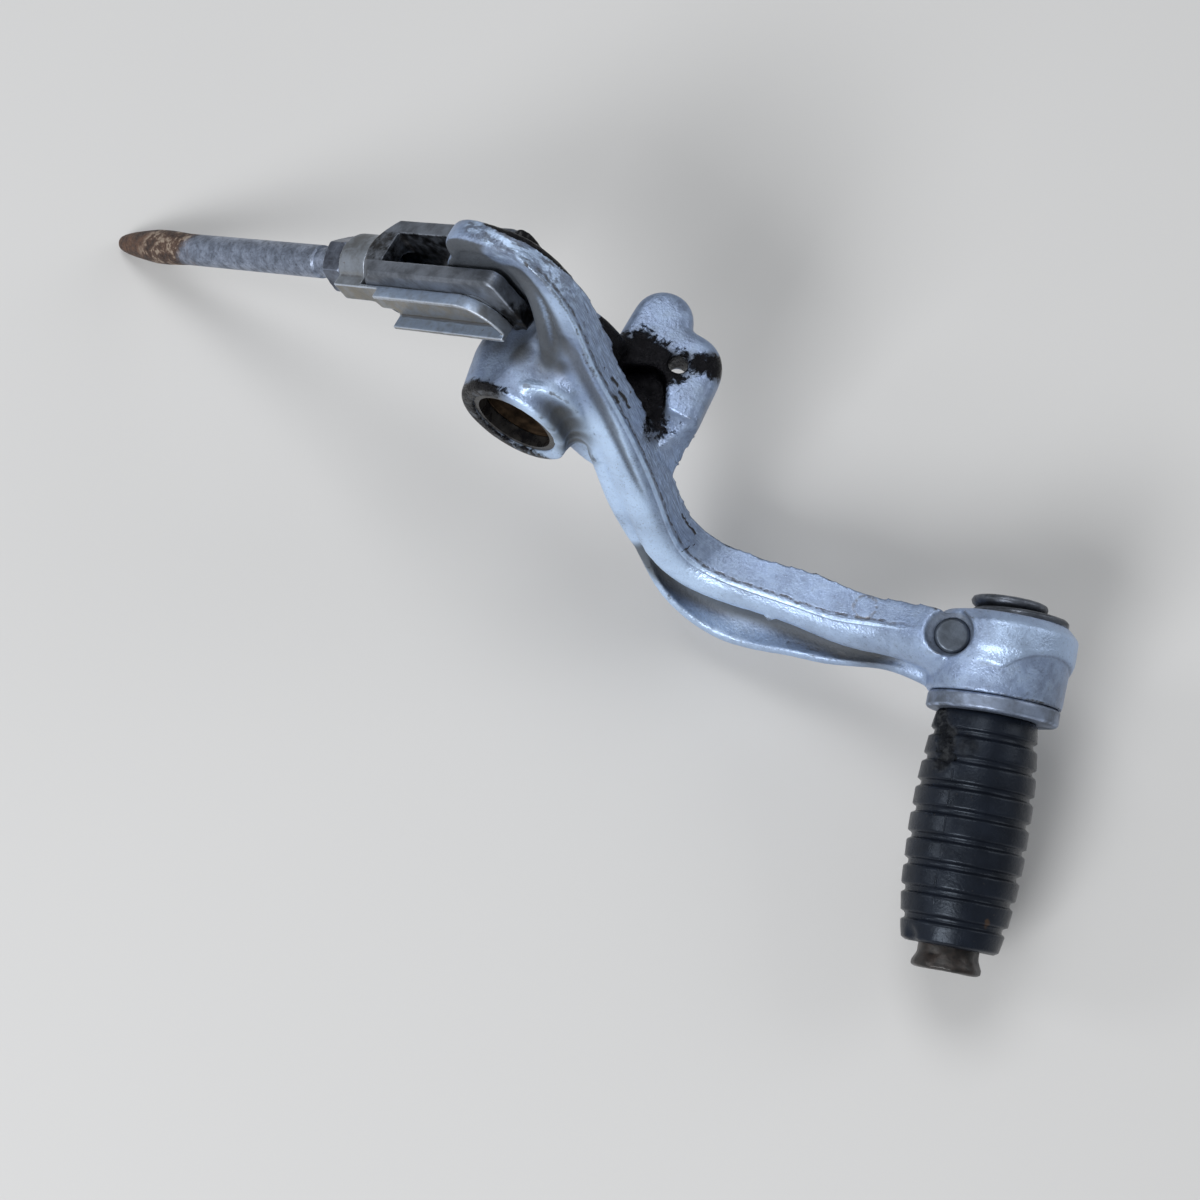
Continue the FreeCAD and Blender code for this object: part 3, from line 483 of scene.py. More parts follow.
def show(name, mesh, material):
    """Puts a mesh into the scene as a piece at the origin, with one finish."""
    mesh.materials.clear()
    mesh.materials.append(material)
    mesh.polygons.foreach_set("use_smooth", [True] * len(mesh.polygons))
    return linked(name, mesh)


def merged_copy(node):
    """A closed copy of a CAD node's mesh, with its loose triangles merged."""
    shape = bmesh.new()
    shape.from_mesh(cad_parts[node].data)
    bmesh.ops.remove_doubles(shape, verts=shape.verts, dist=WELD)
    mesh = bpy.data.meshes.new(node + "_copy")
    shape.to_mesh(mesh)
    shape.free()
    return mesh


def remeshed(mesh, voxel):
    """The mesh again as one even skin of small squares."""
    holder = linked("holder", mesh)
    modifier = holder.modifiers.new("even skin", 'REMESH')
    modifier.mode = 'VOXEL'
    modifier.voxel_size = voxel
    skin = plain_mesh(holder, mesh.name)
    bpy.data.objects.remove(holder)
    return skin


def sharp_edges(mesh, least):
    """The two ends of each edge of a mesh that bends by more than an angle."""
    shape = bmesh.new()
    shape.from_mesh(mesh)
    ends = [[v.co.copy() for v in e.verts] for e in shape.edges if e.calc_face_angle(0) > least]
    shape.free()
    return ends


def ramp(values, low, high):
    """Values eased from 0 at low to 1 at high."""
    t = np.clip((values - low) / (high - low), 0, 1)
    return t * t * (3 - 2 * t)


def bell(distance, width):
    return np.exp(-(distance / width) ** 2)


def near(points, centre, radius):
    """1 at the centre in millimetres, eased to 0 at the radius."""
    return ramp(np.linalg.norm(points - np.array(centre) * MM, axis=1) / (radius * MM), 1, 0)


def strongest(*values):
    return np.maximum.reduce(values)


def covered(points, places, widen=1):
    """The strongest at each point of some places: centre, radius and strength."""
    return strongest(*[near(points, centre, radius * widen) * strength
                       for centre, radius, strength in places])


def from_line(points, corners):
    """Distance from a bent line in millimetres, the share of it passed, and the foot."""
    corners = np.array(corners, float) * MM
    sizes = np.linalg.norm(np.diff(corners, axis=0), axis=1)
    begun = np.concatenate([[0], np.cumsum(sizes)])
    away = np.full(len(points), np.inf)
    share = np.zeros(len(points))
    foot = np.zeros_like(points)
    for a, b, size, start in zip(corners[:-1], corners[1:], sizes, begun[:-1]):
        step = np.clip((points - a) @ ((b - a) / size), 0, size)
        spot = a + step[:, None] * ((b - a) / size)
        gap = np.linalg.norm(points - spot, axis=1)
        nearer = gap < away
        away[nearer] = gap[nearer]
        share[nearer] = (start + step[nearer]) / begun[-1]
        foot[nearer] = spot[nearer]
    return away / MM, share, foot


def ripple(points, size, seed=0):
    """Smooth random heights between about -1 and 1, of a size in metres."""
    shift = Vector((seed * 7.3, seed * 3.1, seed * 5.7))
    return np.array([noise.noise(Vector(p) / size + shift) for p in points])


class Skin:
    """The points of a mesh as arrays, with what smoothing and shading need."""

    def __init__(self, mesh):
        self.mesh = mesh
        self.count = len(mesh.vertices)
        self.points = self.read("co")
        pairs = np.empty(len(mesh.edges) * 2, np.int32)
        mesh.edges.foreach_get("vertices", pairs)
        self.a, self.b = pairs.reshape(-1, 2).T
        self.degree = np.maximum(np.bincount(pairs, minlength=self.count), 1)

    def read(self, kind):
        flat = np.empty(self.count * 3, np.float32)
        self.mesh.vertices.foreach_get(kind, flat)
        return flat.reshape(-1, 3).astype(float)

    def store(self):
        self.mesh.vertices.foreach_set("co", self.points.astype(np.float32).ravel())
        self.mesh.update()

    def normals(self):
        self.store()
        return self.read("normal")

    def push(self, facing, heights):
        """Moves the points along their normals by millimetres."""
        self.points += facing * (heights * MM)[:, None]

    def around(self, values):
        """Mean of the neighbours' values at each point."""
        if values.ndim == 1:
            total = np.bincount(self.a, values[self.b], self.count)
            return (total + np.bincount(self.b, values[self.a], self.count)) / self.degree
        return np.stack([self.around(column) for column in values.T], axis=1)

    def smooth(self, values, times, share=0.5):
        if values.ndim == 2 and not np.isscalar(share):
            share = share[:, None]
        for _ in range(times):
            values = values + (self.around(values) - values) * share
        return values

    def snap(self, cast, step):
        """Draws the points onto the cast's surface, and onto a sharp edge within reach."""
        places = []
        for a, b in sharp_edges(cast, SHARP):
            count = max(int((b - a).length / SHARP_STEP), 1)
            places += [a.lerp(b, k / count) for k in range(count + 1)]
        surface = BVHTree.FromPolygons([v.co for v in cast.vertices],
                                       [p.vertices for p in cast.polygons])
        tree = KDTree(len(places))
        for k, place in enumerate(places):
            tree.insert(place, k)
        tree.balance()
        reach = step * SNAP_SHARE
        for k, point in enumerate(self.points):
            found = surface.find_nearest(point, reach * 2)[0]
            place, _, gap = tree.find(point)
            if gap < reach:
                self.points[k] = place
            elif found:
                self.points[k] = found

    def mark(self, name, values, limit=None):
        """Keeps a value for each point, between 0 and 1 or within a given limit."""
        kept = np.clip(values, 0, 1) if limit is None else np.clip(values, -limit, limit)
        layer = self.mesh.attributes.new(name, 'FLOAT', 'POINT')
        layer.data.foreach_set("value", kept.astype(np.float32))

    def mark_bends(self, facing, step, first, edge, spread, hollow):
        """Marks edges and hollows, each by a gain, a least bend and passes of smoothing."""
        bend = ((self.around(self.points) - self.points) * facing).sum(axis=1) / step
        bend = self.smooth(bend, first)
        self.mark("edge", self.smooth(-bend * edge[0] - edge[1], edge[2]))
        bend = self.smooth(bend, spread)
        self.mark("hollow", self.smooth(bend * hollow[0] - hollow[1], hollow[2]))


def fine_skin(node, step, passes=2, lift=0):
    """A skin for a hard piece: its edges eased, with marks for its edges and hollows."""
    cast = merged_copy(node)
    skin = Skin(remeshed(cast, step))
    skin.snap(cast, step)
    skin.points = skin.smooth(skin.points, passes)
    facing = skin.normals()
    if lift:
        skin.push(facing, ripple(skin.points, 0.004) * lift)
    skin.mark_bends(facing, step, 1, edge=(8, 0.25, 1), spread=6, hollow=(14, 0.1, 2))
    return skin


def stand_in(skin, node, name, material, body):
    """Puts a skin into the scene in place of a CAD node."""
    skin.store()
    piece = show(name, skin.mesh, material)
    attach(piece, body)
    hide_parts(node)


def coat(node, material):
    """Gives a CAD node a finish of its own."""
    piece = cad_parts[node]
    if not piece.material_slots:
        piece.data.materials.append(material)
    for slot in piece.material_slots:
        slot.material = material


def number(name, description, default, **more):
    return bpy.props.FloatProperty(name=name, description=description, default=default, **more)


def length(name, description, default, **limits):
    return number(name, description, default, unit='LENGTH', subtype='DISTANCE', **limits)


def color(name, description, default):
    return bpy.props.FloatVectorProperty(name=name, description=description, default=default,
                                         size=3, min=0, max=1, subtype='COLOR')


class ArmSettings(bpy.types.PropertyGroup):
    voxel: length("Skin step", "Size of the squares of the cast skin", 0.00062, min=0.0003)
    paint: color("Paint", "Colour of the silver paint", (0.278, 0.368, 0.56))
    # The bright paint is also the colour of the painted highlights.
    bright: color("Bright paint", "Paint where it is least dirty", (0.565, 0.735, 0.99))
    shade: color("Dull paint", "Paint under a film of dirt", (0.173, 0.22, 0.32))
    bare: color("Bare alloy", "Rubbed metal on edges", (0.13, 0.15, 0.19))
    dust: color("Dark specks", "Fine dirt in the paint", (0.075, 0.083, 0.10))
    metal: number("Metallic share", "How metallic the clean paint is", 0.62, min=0, max=1)


class SleeveSettings(bpy.types.PropertyGroup):
    ribs: bpy.props.IntProperty(
        name="Ribs", description="Number of ribs along the sleeve", default=9, min=2)
    pitch: length("Pitch", "Distance from one rib to the next", 0.0061)
    groove: length("Groove", "Width of a groove", 0.0011)
    depth: length("Groove depth", "Depth of a groove", 0.0010)
    edge: length("Edge round", "Width of a rib's rounded edge", 0.0006)
    top_radius: length("Radius at the collar", "Outer radius at the inner end", 0.0116)
    mid_radius: length("Radius at the middle", "Outer radius of the barrel", 0.0137)
    end_radius: length("Radius at the end", "Outer radius at the free end", 0.0111)
    bore: length("Bore", "Radius of the steel core in the sleeve", 0.00703)
    start: length("Start", "Distance along the peg at which the sleeve begins", 0.01435)
    offset: length("Offset", "How far the sleeve sits to the rear of the stem", 0.0009)
    rubber: color("Rubber", "Colour of the rubber", (0.0042, 0.0054, 0.0088))
    rubber_light: color("Faded rubber", "Rubber that has gone grey", (0.008, 0.0105, 0.017))
    dust: color("Dust", "Brown dust in the grooves", (0.05, 0.044, 0.038))


class StageSettings(bpy.types.PropertyGroup):
    floor: color("Floor", "Colour of the floor", (0.59, 0.59, 0.59))
    lens: number("Lens", "Focal length of the camera in millimetres", 72)
    lamp: number("Lamps", "Strength of the soft lamps", 1, min=0)
    sky: number("Sky", "Strength of the even light from all round", 0.28, min=0)


class PEDAL_OT_camera(bpy.types.Operator):
    """Put the camera where the picture was taken from"""
    bl_idname = "pedal.camera"
    bl_label = "Camera"

    spot = Vector((128.36, -208.27, 499.57)) * MM
    backward = Vector((0.1692, -0.3097, 0.9357))

    def execute(self, context):
        data = bpy.data.cameras.new("camera")
        data.lens = context.scene.pedal_stage.lens
        data.sensor_width = 36
        back = self.backward.normalized()
        right = Vector((0, 0, 1)).cross(back).normalized()
        camera = linked("camera", data)
        camera.matrix_world = placed(self.spot, right, back.cross(right), back)
        context.scene.camera = camera
        return {'FINISHED'}


class PEDAL_OT_stage(bpy.types.Operator):
    """Lay the floor and set up the soft lamps and the even light"""
    bl_idname = "pedal.stage"
    bl_label = "Floor and light"

    radius = 3
    aim = Vector((0.05, -0.02, -0.02))
    # Name, place and size in metres, and power in watts.
    lamps = (("key", (-0.1, -1.2, 0.99), 0.6, 17), ("fill", (-0.52, 0.45, 1.57), 0.9, 10),
             ("rim", (0.98, 0.9, 0.75), 0.75, 3.4), ("left", (-1.35, -0.6, 0.8), 0.4, 4.5))

    def execute(self, context):
        settings = context.scene.pedal_stage
        low = Matrix.Translation((0, 0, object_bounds()[0][2]))
        shape = bmesh.new()
        bmesh.ops.create_circle(shape, cap_ends=True, segments=96, radius=self.radius, matrix=low)
        mesh = bpy.data.meshes.new("floor")
        shape.to_mesh(mesh)
        shape.free()
        f = Finish("floor")
        cloud = f.fade(f.noise(2.2, 3, 0.5), 0.3, 0.7)
        color = f.mix(cloud, settings.floor, [c * 0.97 for c in settings.floor])
        floor = show("floor", mesh, f.done(Base_Color=color, Roughness=0.75, Metallic=0))
        floor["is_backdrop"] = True
        world = bpy.data.worlds.new("even light")
        context.scene.world = world
        world.use_nodes = True
        ground = world.node_tree.nodes["Background"]
        ground.inputs["Color"].default_value = (0.94, 0.97, 1, 1)
        ground.inputs["Strength"].default_value = settings.sky
        for name, spot, size, power in self.lamps:
            data = bpy.data.lights.new(name, 'AREA')
            data.size = size
            data.energy = power * settings.lamp
            turn = (self.aim - Vector(spot)).to_track_quat('-Z', 'Y').to_matrix().to_4x4()
            linked(name, data).matrix_world = Matrix.Translation(spot) @ turn
        context.scene.view_settings.view_transform = 'Standard'
        return {'FINISHED'}


class PEDAL_OT_arm(bpy.types.Operator):
    """Cast arm with rounded fillets, worn edges and grease"""
    bl_idname = "pedal.arm"
    bl_label = "Arm casting"

    # The worn edge of the arm: x, y, z in millimetres and the lean of its top band in degrees.
    ridge = [
        (-13, 4.4, 39.6, 80), (-8.6, 3.3, 42.6, 70), (-3.4, 2.6, 42.6, 56), (1.6, 2.2, 39.6, 42),
        (6.1, 1, 34.6, 32), (10.4, -0.6, 26.9, 30), (14.2, -1.9, 19.6, 30), (21.9, -4, 7.3, 34),
        (29.6, -6.9, -4.4, 34), (35.6, -9.7, -15, 33), (38.8, -11.4, -21, 36),
        (41.8, -12.6, -26.2, 42), (44.6, -13.3, -30.2, 52), (48.5, -13.3, -32.6, 64),
        (57.4, -13, -33.2, 84), (69.6, -11.8, -31.8, 90), (82, -10.8, -29.6, 94),
        (91.4, -9.1, -26, 98), (101.5, -8.3, -19.2, 104), (110, -7.4, -14.6, 104)]
    # Bent lines in millimetres: the channel below the edge, the groove under the toe and the
    # fillet beside the boss.
    channel = [(6.8, -2.9, 25.8), (9.7, -3.2, 23.4), (14.4, -4.6, 16.4), (18.4, -5.8, 10.2),
               (22.8, -7.6, 3.4), (27.6, -9.7, -4.1), (32, -11.4, -11.3), (35.9, -12.5, -17.7)]
    toe_groove = [(30.6, -15.4, -30.2), (33.4, -16.1, -33.1), (39.7, -15.9, -40.2),
                  (45.1, -15.3, -45), (50.3, -14.6, -46.9), (55.5, -14, -47.3),
                  (60.5, -13.3, -46.5), (68.2, -12.5, -44.9), (78.7, -12.3, -42.8),
                  (83.9, -12.2, -41.6), (89.2, -12.2, -40.2), (94.1, -12, -37.6),
                  (102.6, -12.1, -32), (105.2, -12.3, -30.8)]
    brow = [(1.8, -11, 14.6), (4.6, -9.8, 14.3), (8, -9, 13.9), (10.4, -8.8, 12.9),
            (12.9, -8.7, 9.5), (15.2, -9.2, 4.8), (17, -9.4, -1), (19.3, -10.2, -6.6)]
    # The step across the eye: its x and its y in millimetres.
    eye_step = ((112, 119.2, 123.3, 125.6, 128.4, 132.5, 135.2, 137.2, 140),
                (-11, -10, -9.4, -6.2, -3.6, -0.7, 0.6, 1.5, 2.6))
    # Heights of the relief in millimetres.
    bead, fillet, channel_depth, groove_depth, eye_height, uneven = 0.26, 1.15, 0.85, 0.35, 0.5, 0.1
    # Places in millimetres, a radius and how far the casting is rounded there, and places
    # with a radius where it stays crisp.
    soft_places = [((2, -4, 15), 12, 0.6), ((14, -4, 0), 10, 0.6), ((8, -2, -14), 13, 1),
                   ((24, 24, 0), 26, 0.7), ((30, 2, -3), 10, 1), ((104, -11, -26), 10, 0.8)]
    crisp_places = [((0, -15, 0), 17), ((0, 13, 0), 14)]
    pocket = ((12.5, -11, 3), 13)
    # Lumps and dents in millimetres: place, radius and height.
    lumps = [((68.8, -14.8, -37.8), 1.6, 1.1), ((7, -11.8, 11.8), 3.5, -1),
             ((10, -11.4, 9.5), 4.5, -2), ((12.6, -11.4, 5.5), 5, -2.6),
             ((14.3, -11.6, 0), 5, -2.6), ((14.5, -11.4, -5), 4.5, -2)]
    # Places in millimetres, a radius and a strength of the black grease.
    greasy_places = [
        ((13, 12, 9), 8, 1), ((17, 12, 4), 8, 1), ((21, 12, 2), 8, 1), ((20, 9, -1), 8, 1),
        ((24, 9, -1), 7, 0.9), ((26, 13, 2), 5, 0.9), ((23, 14.5, 4), 3.5, 0.8),
        ((27, 16.5, 4), 3, 0.8), ((26.6, 15.5, 0), 5, 1), ((31, 17.5, 4), 3.5, 0.75),
        ((34.5, 19, 3), 4.2, 0.95), ((24, 4, -2), 7, 0.8), ((27.5, 1.5, -2), 6, 0.55),
        ((17, 14, 4), 4, 0.6)]
    # The same of painted shade, partly dull dirt: in the pocket beside the boss, on the tongue and
    # under the clip.
    dusky_places = [
        ((8, -12, 11), 4.5, 0.75), ((10.5, -11.5, 8.6), 5.5, 1), ((12.5, -11.6, 5), 6, 1),
        ((14.2, -12, 0), 6, 1), ((14.5, -11, -5), 5, 0.9), ((3.5, -4.6, 19), 6, 1),
        ((-1, -4.6, 18.5), 5, 0.7), ((7.4, -4, 19), 4, 0.8), ((-6, -2, 15), 8, 0.75),
        ((-13, -1, 11), 8, 0.75), ((-6, 2, 22), 14, 0.8), ((16, -11.5, -8), 5, 0.9),
        ((-14, 6, 2), 10, 0.7), ((-9.7, -3, 10.5), 5, 0.75), ((-3.8, -4, 15), 5.5, 0.95),
        ((3, -4.5, 20), 5, 1), ((6.7, -4.2, 18.4), 4, 0.9)]
    widen = 1.35
    far_tongue = ((-6, 9, 40), 17)
    bright_tongue = ((3, 0, 34), 10)
    lock_pin = (108.8, -6.1, -15.7)

    def edge_curve(self, mesh):
        """The worn edge as a dense curve that lies on the sharp edge of the casting."""
        rows = np.array(self.ridge)
        padded = np.vstack([2 * rows[0] - rows[1], rows, 2 * rows[-1] - rows[-2]])
        curve = []
        for value in np.linspace(0, len(rows) - 1, 160):
            k = min(int(value), len(rows) - 2)
            t = value - k
            a, b, c, d = padded[k:k + 4]
            bent = (2 * a - 5 * b + 4 * c - d) * t ** 2 + (3 * b - 3 * c + d - a) * t ** 3
            curve.append(0.5 * (2 * b + (c - a) * t + bent))
        curve = np.array(curve)
        sharp = np.array([end[:] for ends in sharp_edges(mesh, 0.3) for end in ends]) / MM
        gap = np.linalg.norm(curve[:, None, :3] - sharp[None], axis=2)
        pull = (sharp[gap.argmin(axis=1)] - curve[:, :3]) * (gap.min(axis=1) < 1.3)[:, None]
        for _ in range(6):
            pull[1:-1] = (pull[:-2] + pull[1:-1] + pull[2:]) / 3
        curve[:, :3] += pull
        return curve

    def from_edge(self, points, facing, curve):
        """Millimetres across the worn edge and along it, and 1 on the band above it."""
        away, share, foot = from_line(points, curve[:, :3])
        length = np.linalg.norm(np.diff(curve[:, :3], axis=0), axis=1).sum()
        lean = np.radians(np.interp(share, np.linspace(0, 1, len(curve)), curve[:, 3]))
        up = np.stack([np.cos(lean), np.zeros(len(points)), np.sin(lean)], axis=1)
        inward = (points - foot)[:, 1] + 0.5 * ((points - foot) * up).sum(axis=1)
        across = np.where(inward > 0, away, -away)
        on_band = ramp((facing * up).sum(axis=1), 0.55, 0.85) * ramp(across, 0.1, 0.8)
        return across, share * length, on_band * ramp(across, 11, 9)

    def execute(self, context):
        settings = context.scene.pedal_arm
        cast = merged_copy("pedal_arm")
        curve = self.edge_curve(cast)
        skin = Skin(remeshed(cast, settings.voxel))
        skin.snap(cast, settings.voxel)
        soft = covered(skin.points, self.soft_places)
        for place in self.crisp_places:
            soft *= 1 - near(skin.points, *place)
        skin.points = skin.smooth(skin.points, 5)
        skin.points = skin.smooth(skin.points, 22, 0.5 * soft)

        # Where each point lies: on the edge, the channel, the toe's groove and the eye.
        facing = skin.normals()
        points = skin.points
        across, run, on_band = self.from_edge(points, facing, curve)
        x, y, z = (points / MM).T
        leg = ramp(x, 47, 39)
        band = on_band * (0.25 + 0.75 * leg) * (0.3 + 0.7 * ramp(run, 14, 27))
        rim = ramp(run, 4, 14) * ramp(x, 104, 92)
        # The channel below the edge is carved and darkened with painted shade.
        gap, passed, _ = from_line(points, self.channel)
        step = bell(gap, 2.6 - 1.9 * ramp(passed, 0, 0.75)) * ramp(passed, 1, 0.7)
        step *= ramp(across, -1.2, -2)
        gap, toe, _ = from_line(points, self.toe_groove)
        under = ramp(gap, 5, 1.2) * ramp(toe, 1, 0.85) * ramp(toe, 0, 0.06)
        flange = ramp(gap, 2.5, 5.5) * ramp(gap, 12, 9) * ramp(z, -33, -38)
        flange *= ramp(x, 34, 44) * ramp(x, 103, 96)
        brow = from_line(points, self.brow)[0]
        past = y - np.interp(x, *self.eye_step)
        endways = np.abs(facing @ np.array(peg_axes())[:3, 2])
        on_eye = ramp(x, 115, 119) * ramp(z, -31, -25) * ramp(endways, 0.85, 0.6)
        from_axis = np.hypot(x, z)
        flat_ring = ramp(y, -14.1, -14.6) * ramp(from_axis, 14.4, 14) * ramp(from_axis, 10.3, 10.6)

        height = self.bead * bell(across + 0.35, 0.7) * rim * (0.35 + 0.65 * leg)
        height -= self.channel_depth * step * (1.15 - passed)
        height += self.fillet * bell(brow, 1.4) - self.groove_depth * under
        height -= self.eye_height * ramp(past, 0.3, -0.3) * on_eye * ramp(y, -17, -13)
        for centre, radius, amount in self.lumps:
            height += near(skin.points, centre, radius) * amount
        skin.push(facing, height + ripple(skin.points, 0.009) * self.uneven)
        skin.points = skin.smooth(skin.points, 10, 0.5 * near(skin.points, *self.pocket))

        facing = skin.normals()
        points = skin.points
        new_x, new_y, new_z = (points / MM).T
        outboard = -facing[:, 1]
        round_edge = np.hypot(from_axis - 13.8, y + 14.6)
        worn_side = strongest(ramp(x, 1, -7), ramp(z, -6, -11))
        far_side = ramp(new_y, 7.3, 8.3) * near(points, *self.far_tongue)
        tongue = ramp(outboard, 0.5, 0.8) * ramp(across, -1.8, -4.5)
        tongue *= ramp(new_z, 15, 20) * ramp(new_x, 12, 4)
        recess = ramp(np.linalg.norm(points / MM - self.lock_pin, axis=1), 6.3, 5.6)
        # Painted highlight: the outboard sheet of the leg, the lit flange under the toe and the
        # tongue's tip are lightened, less towards the toe.
        sheet = ramp(outboard, 0.4, 0.75) * ramp(across, -0.6, -1.8) * ramp(across, -26, -18)
        sheet *= ramp(z, 14, 4) * ramp(x, 10, 17)
        tip = near(points, *self.bright_tongue) * ramp(across, 0.2, -0.6)
        sheet = strongest(sheet, 0.6 * tip, 0.8 * flange)
        sheet *= 1 - 0.55 * ramp(new_x, 48, 78) - 0.25 * ramp(new_x, 78, 108)
        skin.mark_bends(facing, settings.voxel, 2, edge=(9, 0.3, 1), spread=8, hollow=(16, 0.12, 3))
        skin.mark("grease", strongest(
            covered(points, self.greasy_places, self.widen), ramp(far_side, 0.05, 0.3),
            0.66 * bell(round_edge, 1.9) * worn_side, 0.42 * flat_ring * worn_side))
        # Painted shade: the dusky places, the outboard face of the tongue, the groove under the
        # toe's strip, the lock pin's recess, a line under the eye's step and the left of the boss's
        # ring.
        skin.mark("shade", strongest(
            covered(points, self.dusky_places, self.widen), 0.85 * tongue, 0.85 * under,
            0.62 * recess, 0.5 * bell(past + 0.35, 0.4) * on_eye, 0.8 * flat_ring * ramp(x, 2, -6)))
        # Painted highlight also on the right of the boss's ring, along the brow and on the upper
        # side of the eye's step.
        skin.mark("clean", strongest(
            sheet, flat_ring * ramp(x, -2, 5), 0.85 * bell(brow, 1.5),
            0.45 * on_eye * ramp(past, -0.2, 0.6)))
        crown = 0.8 * bell(across, 1.2) * ramp(run, 16, 4)
        skin.mark("rubbed", on_band * ramp(run, 30, 12) + crown)
        skin.mark("band", band)
        skin.mark("rim", rim)
        skin.mark("step", step)
        skin.mark("across", across, 30)
        skin.mark("run", run, 999)
        stand_in(skin, "pedal_arm", "arm_casting", silver_paint(settings), "pedal")
        return {'FINISHED'}


class PEDAL_OT_pivot(bpy.types.Operator):
    """Bronze bushes and grease seals in the pivot boss"""
    bl_idname = "pedal.pivot"
    bl_label = "Bushes and seals"

    def execute(self, context):
        for kind, material in (("pivot_bush_", bronze()), ("pivot_seal_", seal_black())):
            for side in ("outer", "inner"):
                coat(kind + side, material)
        return {'FINISHED'}


class PEDAL_OT_linkage(bpy.types.Operator):
    """Fork head, pin, spring clip, lock nut and push rod"""
    bl_idname = "pedal.linkage"
    bl_label = "Fork and push rod"

    # Greasy places of the fork in millimetres, with a radius and a strength.
    nose_places = [((-2, 10, 31), 17, 1), ((-3, -3, 22), 17, 0.95), ((-8.5, 13.5, 32.5), 11, 1.2)]
    middle = 6
    clip_upward = (-0.59, 0, 0.81)

    def execute(self, context):
        fork = fine_skin("clevis_fork", step=0.00036, lift=0.03)
        nose = covered(fork.points, self.nose_places)
        fork.push(fork.normals(), ripple(fork.points, 0.0022) * 0.5 * ramp(nose, 0.3, 0.7))
        inside = ramp(np.abs(fork.points[:, 1] / MM - self.middle), 4.6, 4.1)
        fork.mark("grease", strongest(nose, 0.6 * inside))
        stand_in(fork, "clevis_fork", "fork_head", steel_finish("fork"), "clevis")
        clip = fine_skin("clevis_clip", step=0.00026, passes=3, lift=0.06)
        facing = clip.normals()
        # Painted highlight: the clip's upward faces are made a pale blue.
        upward = ramp(facing @ np.array(self.clip_upward), 0.7, 0.9)
        clip.mark("pale", upward * ramp(clip.points[:, 0] / MM, -46, -40))
        clip.mark("tan", ramp(-facing[:, 1], 0.7, 0.9))
        stand_in(clip, "clevis_clip", "spring_clip", steel_finish("zinc"), "clevis")
        nut = fine_skin("lock_nut", step=0.0003, lift=0.03)
        stand_in(nut, "lock_nut", "nut", steel_finish("nut"), "clevis")
        coat("clevis_pin", steel_finish("zinc"))
        coat("push_rod", worn_rod())
        return {'FINISHED'}


class PEDAL_OT_peg(bpy.types.Operator):
    """Peg stem, washer, collar and lock pin"""
    bl_idname = "pedal.peg"
    bl_label = "Peg metal"

    # Node, name, step and lift of the skin, finish and slot.
    plain_pieces = (("peg_washer", "washer", 0.0003, 0.02, "peg", "peg_steel"),
                    ("peg_collar", "collar", 0.0004, 0.05, "collar", "bare_alloy"),
                    ("peg_lock_pin", "lock_pin", 0.0003, 0.06, "lock", "peg_steel"))

    def execute(self, context):
        stem = fine_skin("peg_stem", step=0.0004)
        axes = np.array(peg_axes())
        along = (stem.points - axes[:3, 3]) @ axes[:3, 2] / MM
        stem.mark("rusted", ramp(along, 40, 46))
        stem.push(stem.normals(), ripple(stem.points, 0.003) * 0.25 * ramp(along, 50, 60))
        stand_in(stem, "peg_stem", "stem", steel_finish("peg"), "pedal")
        for node, name, step, lift, kind, slot in self.plain_pieces:
            skin = fine_skin(node, step, lift=lift)
            stand_in(skin, node, name, steel_finish(kind), "pedal")
        return {'FINISHED'}


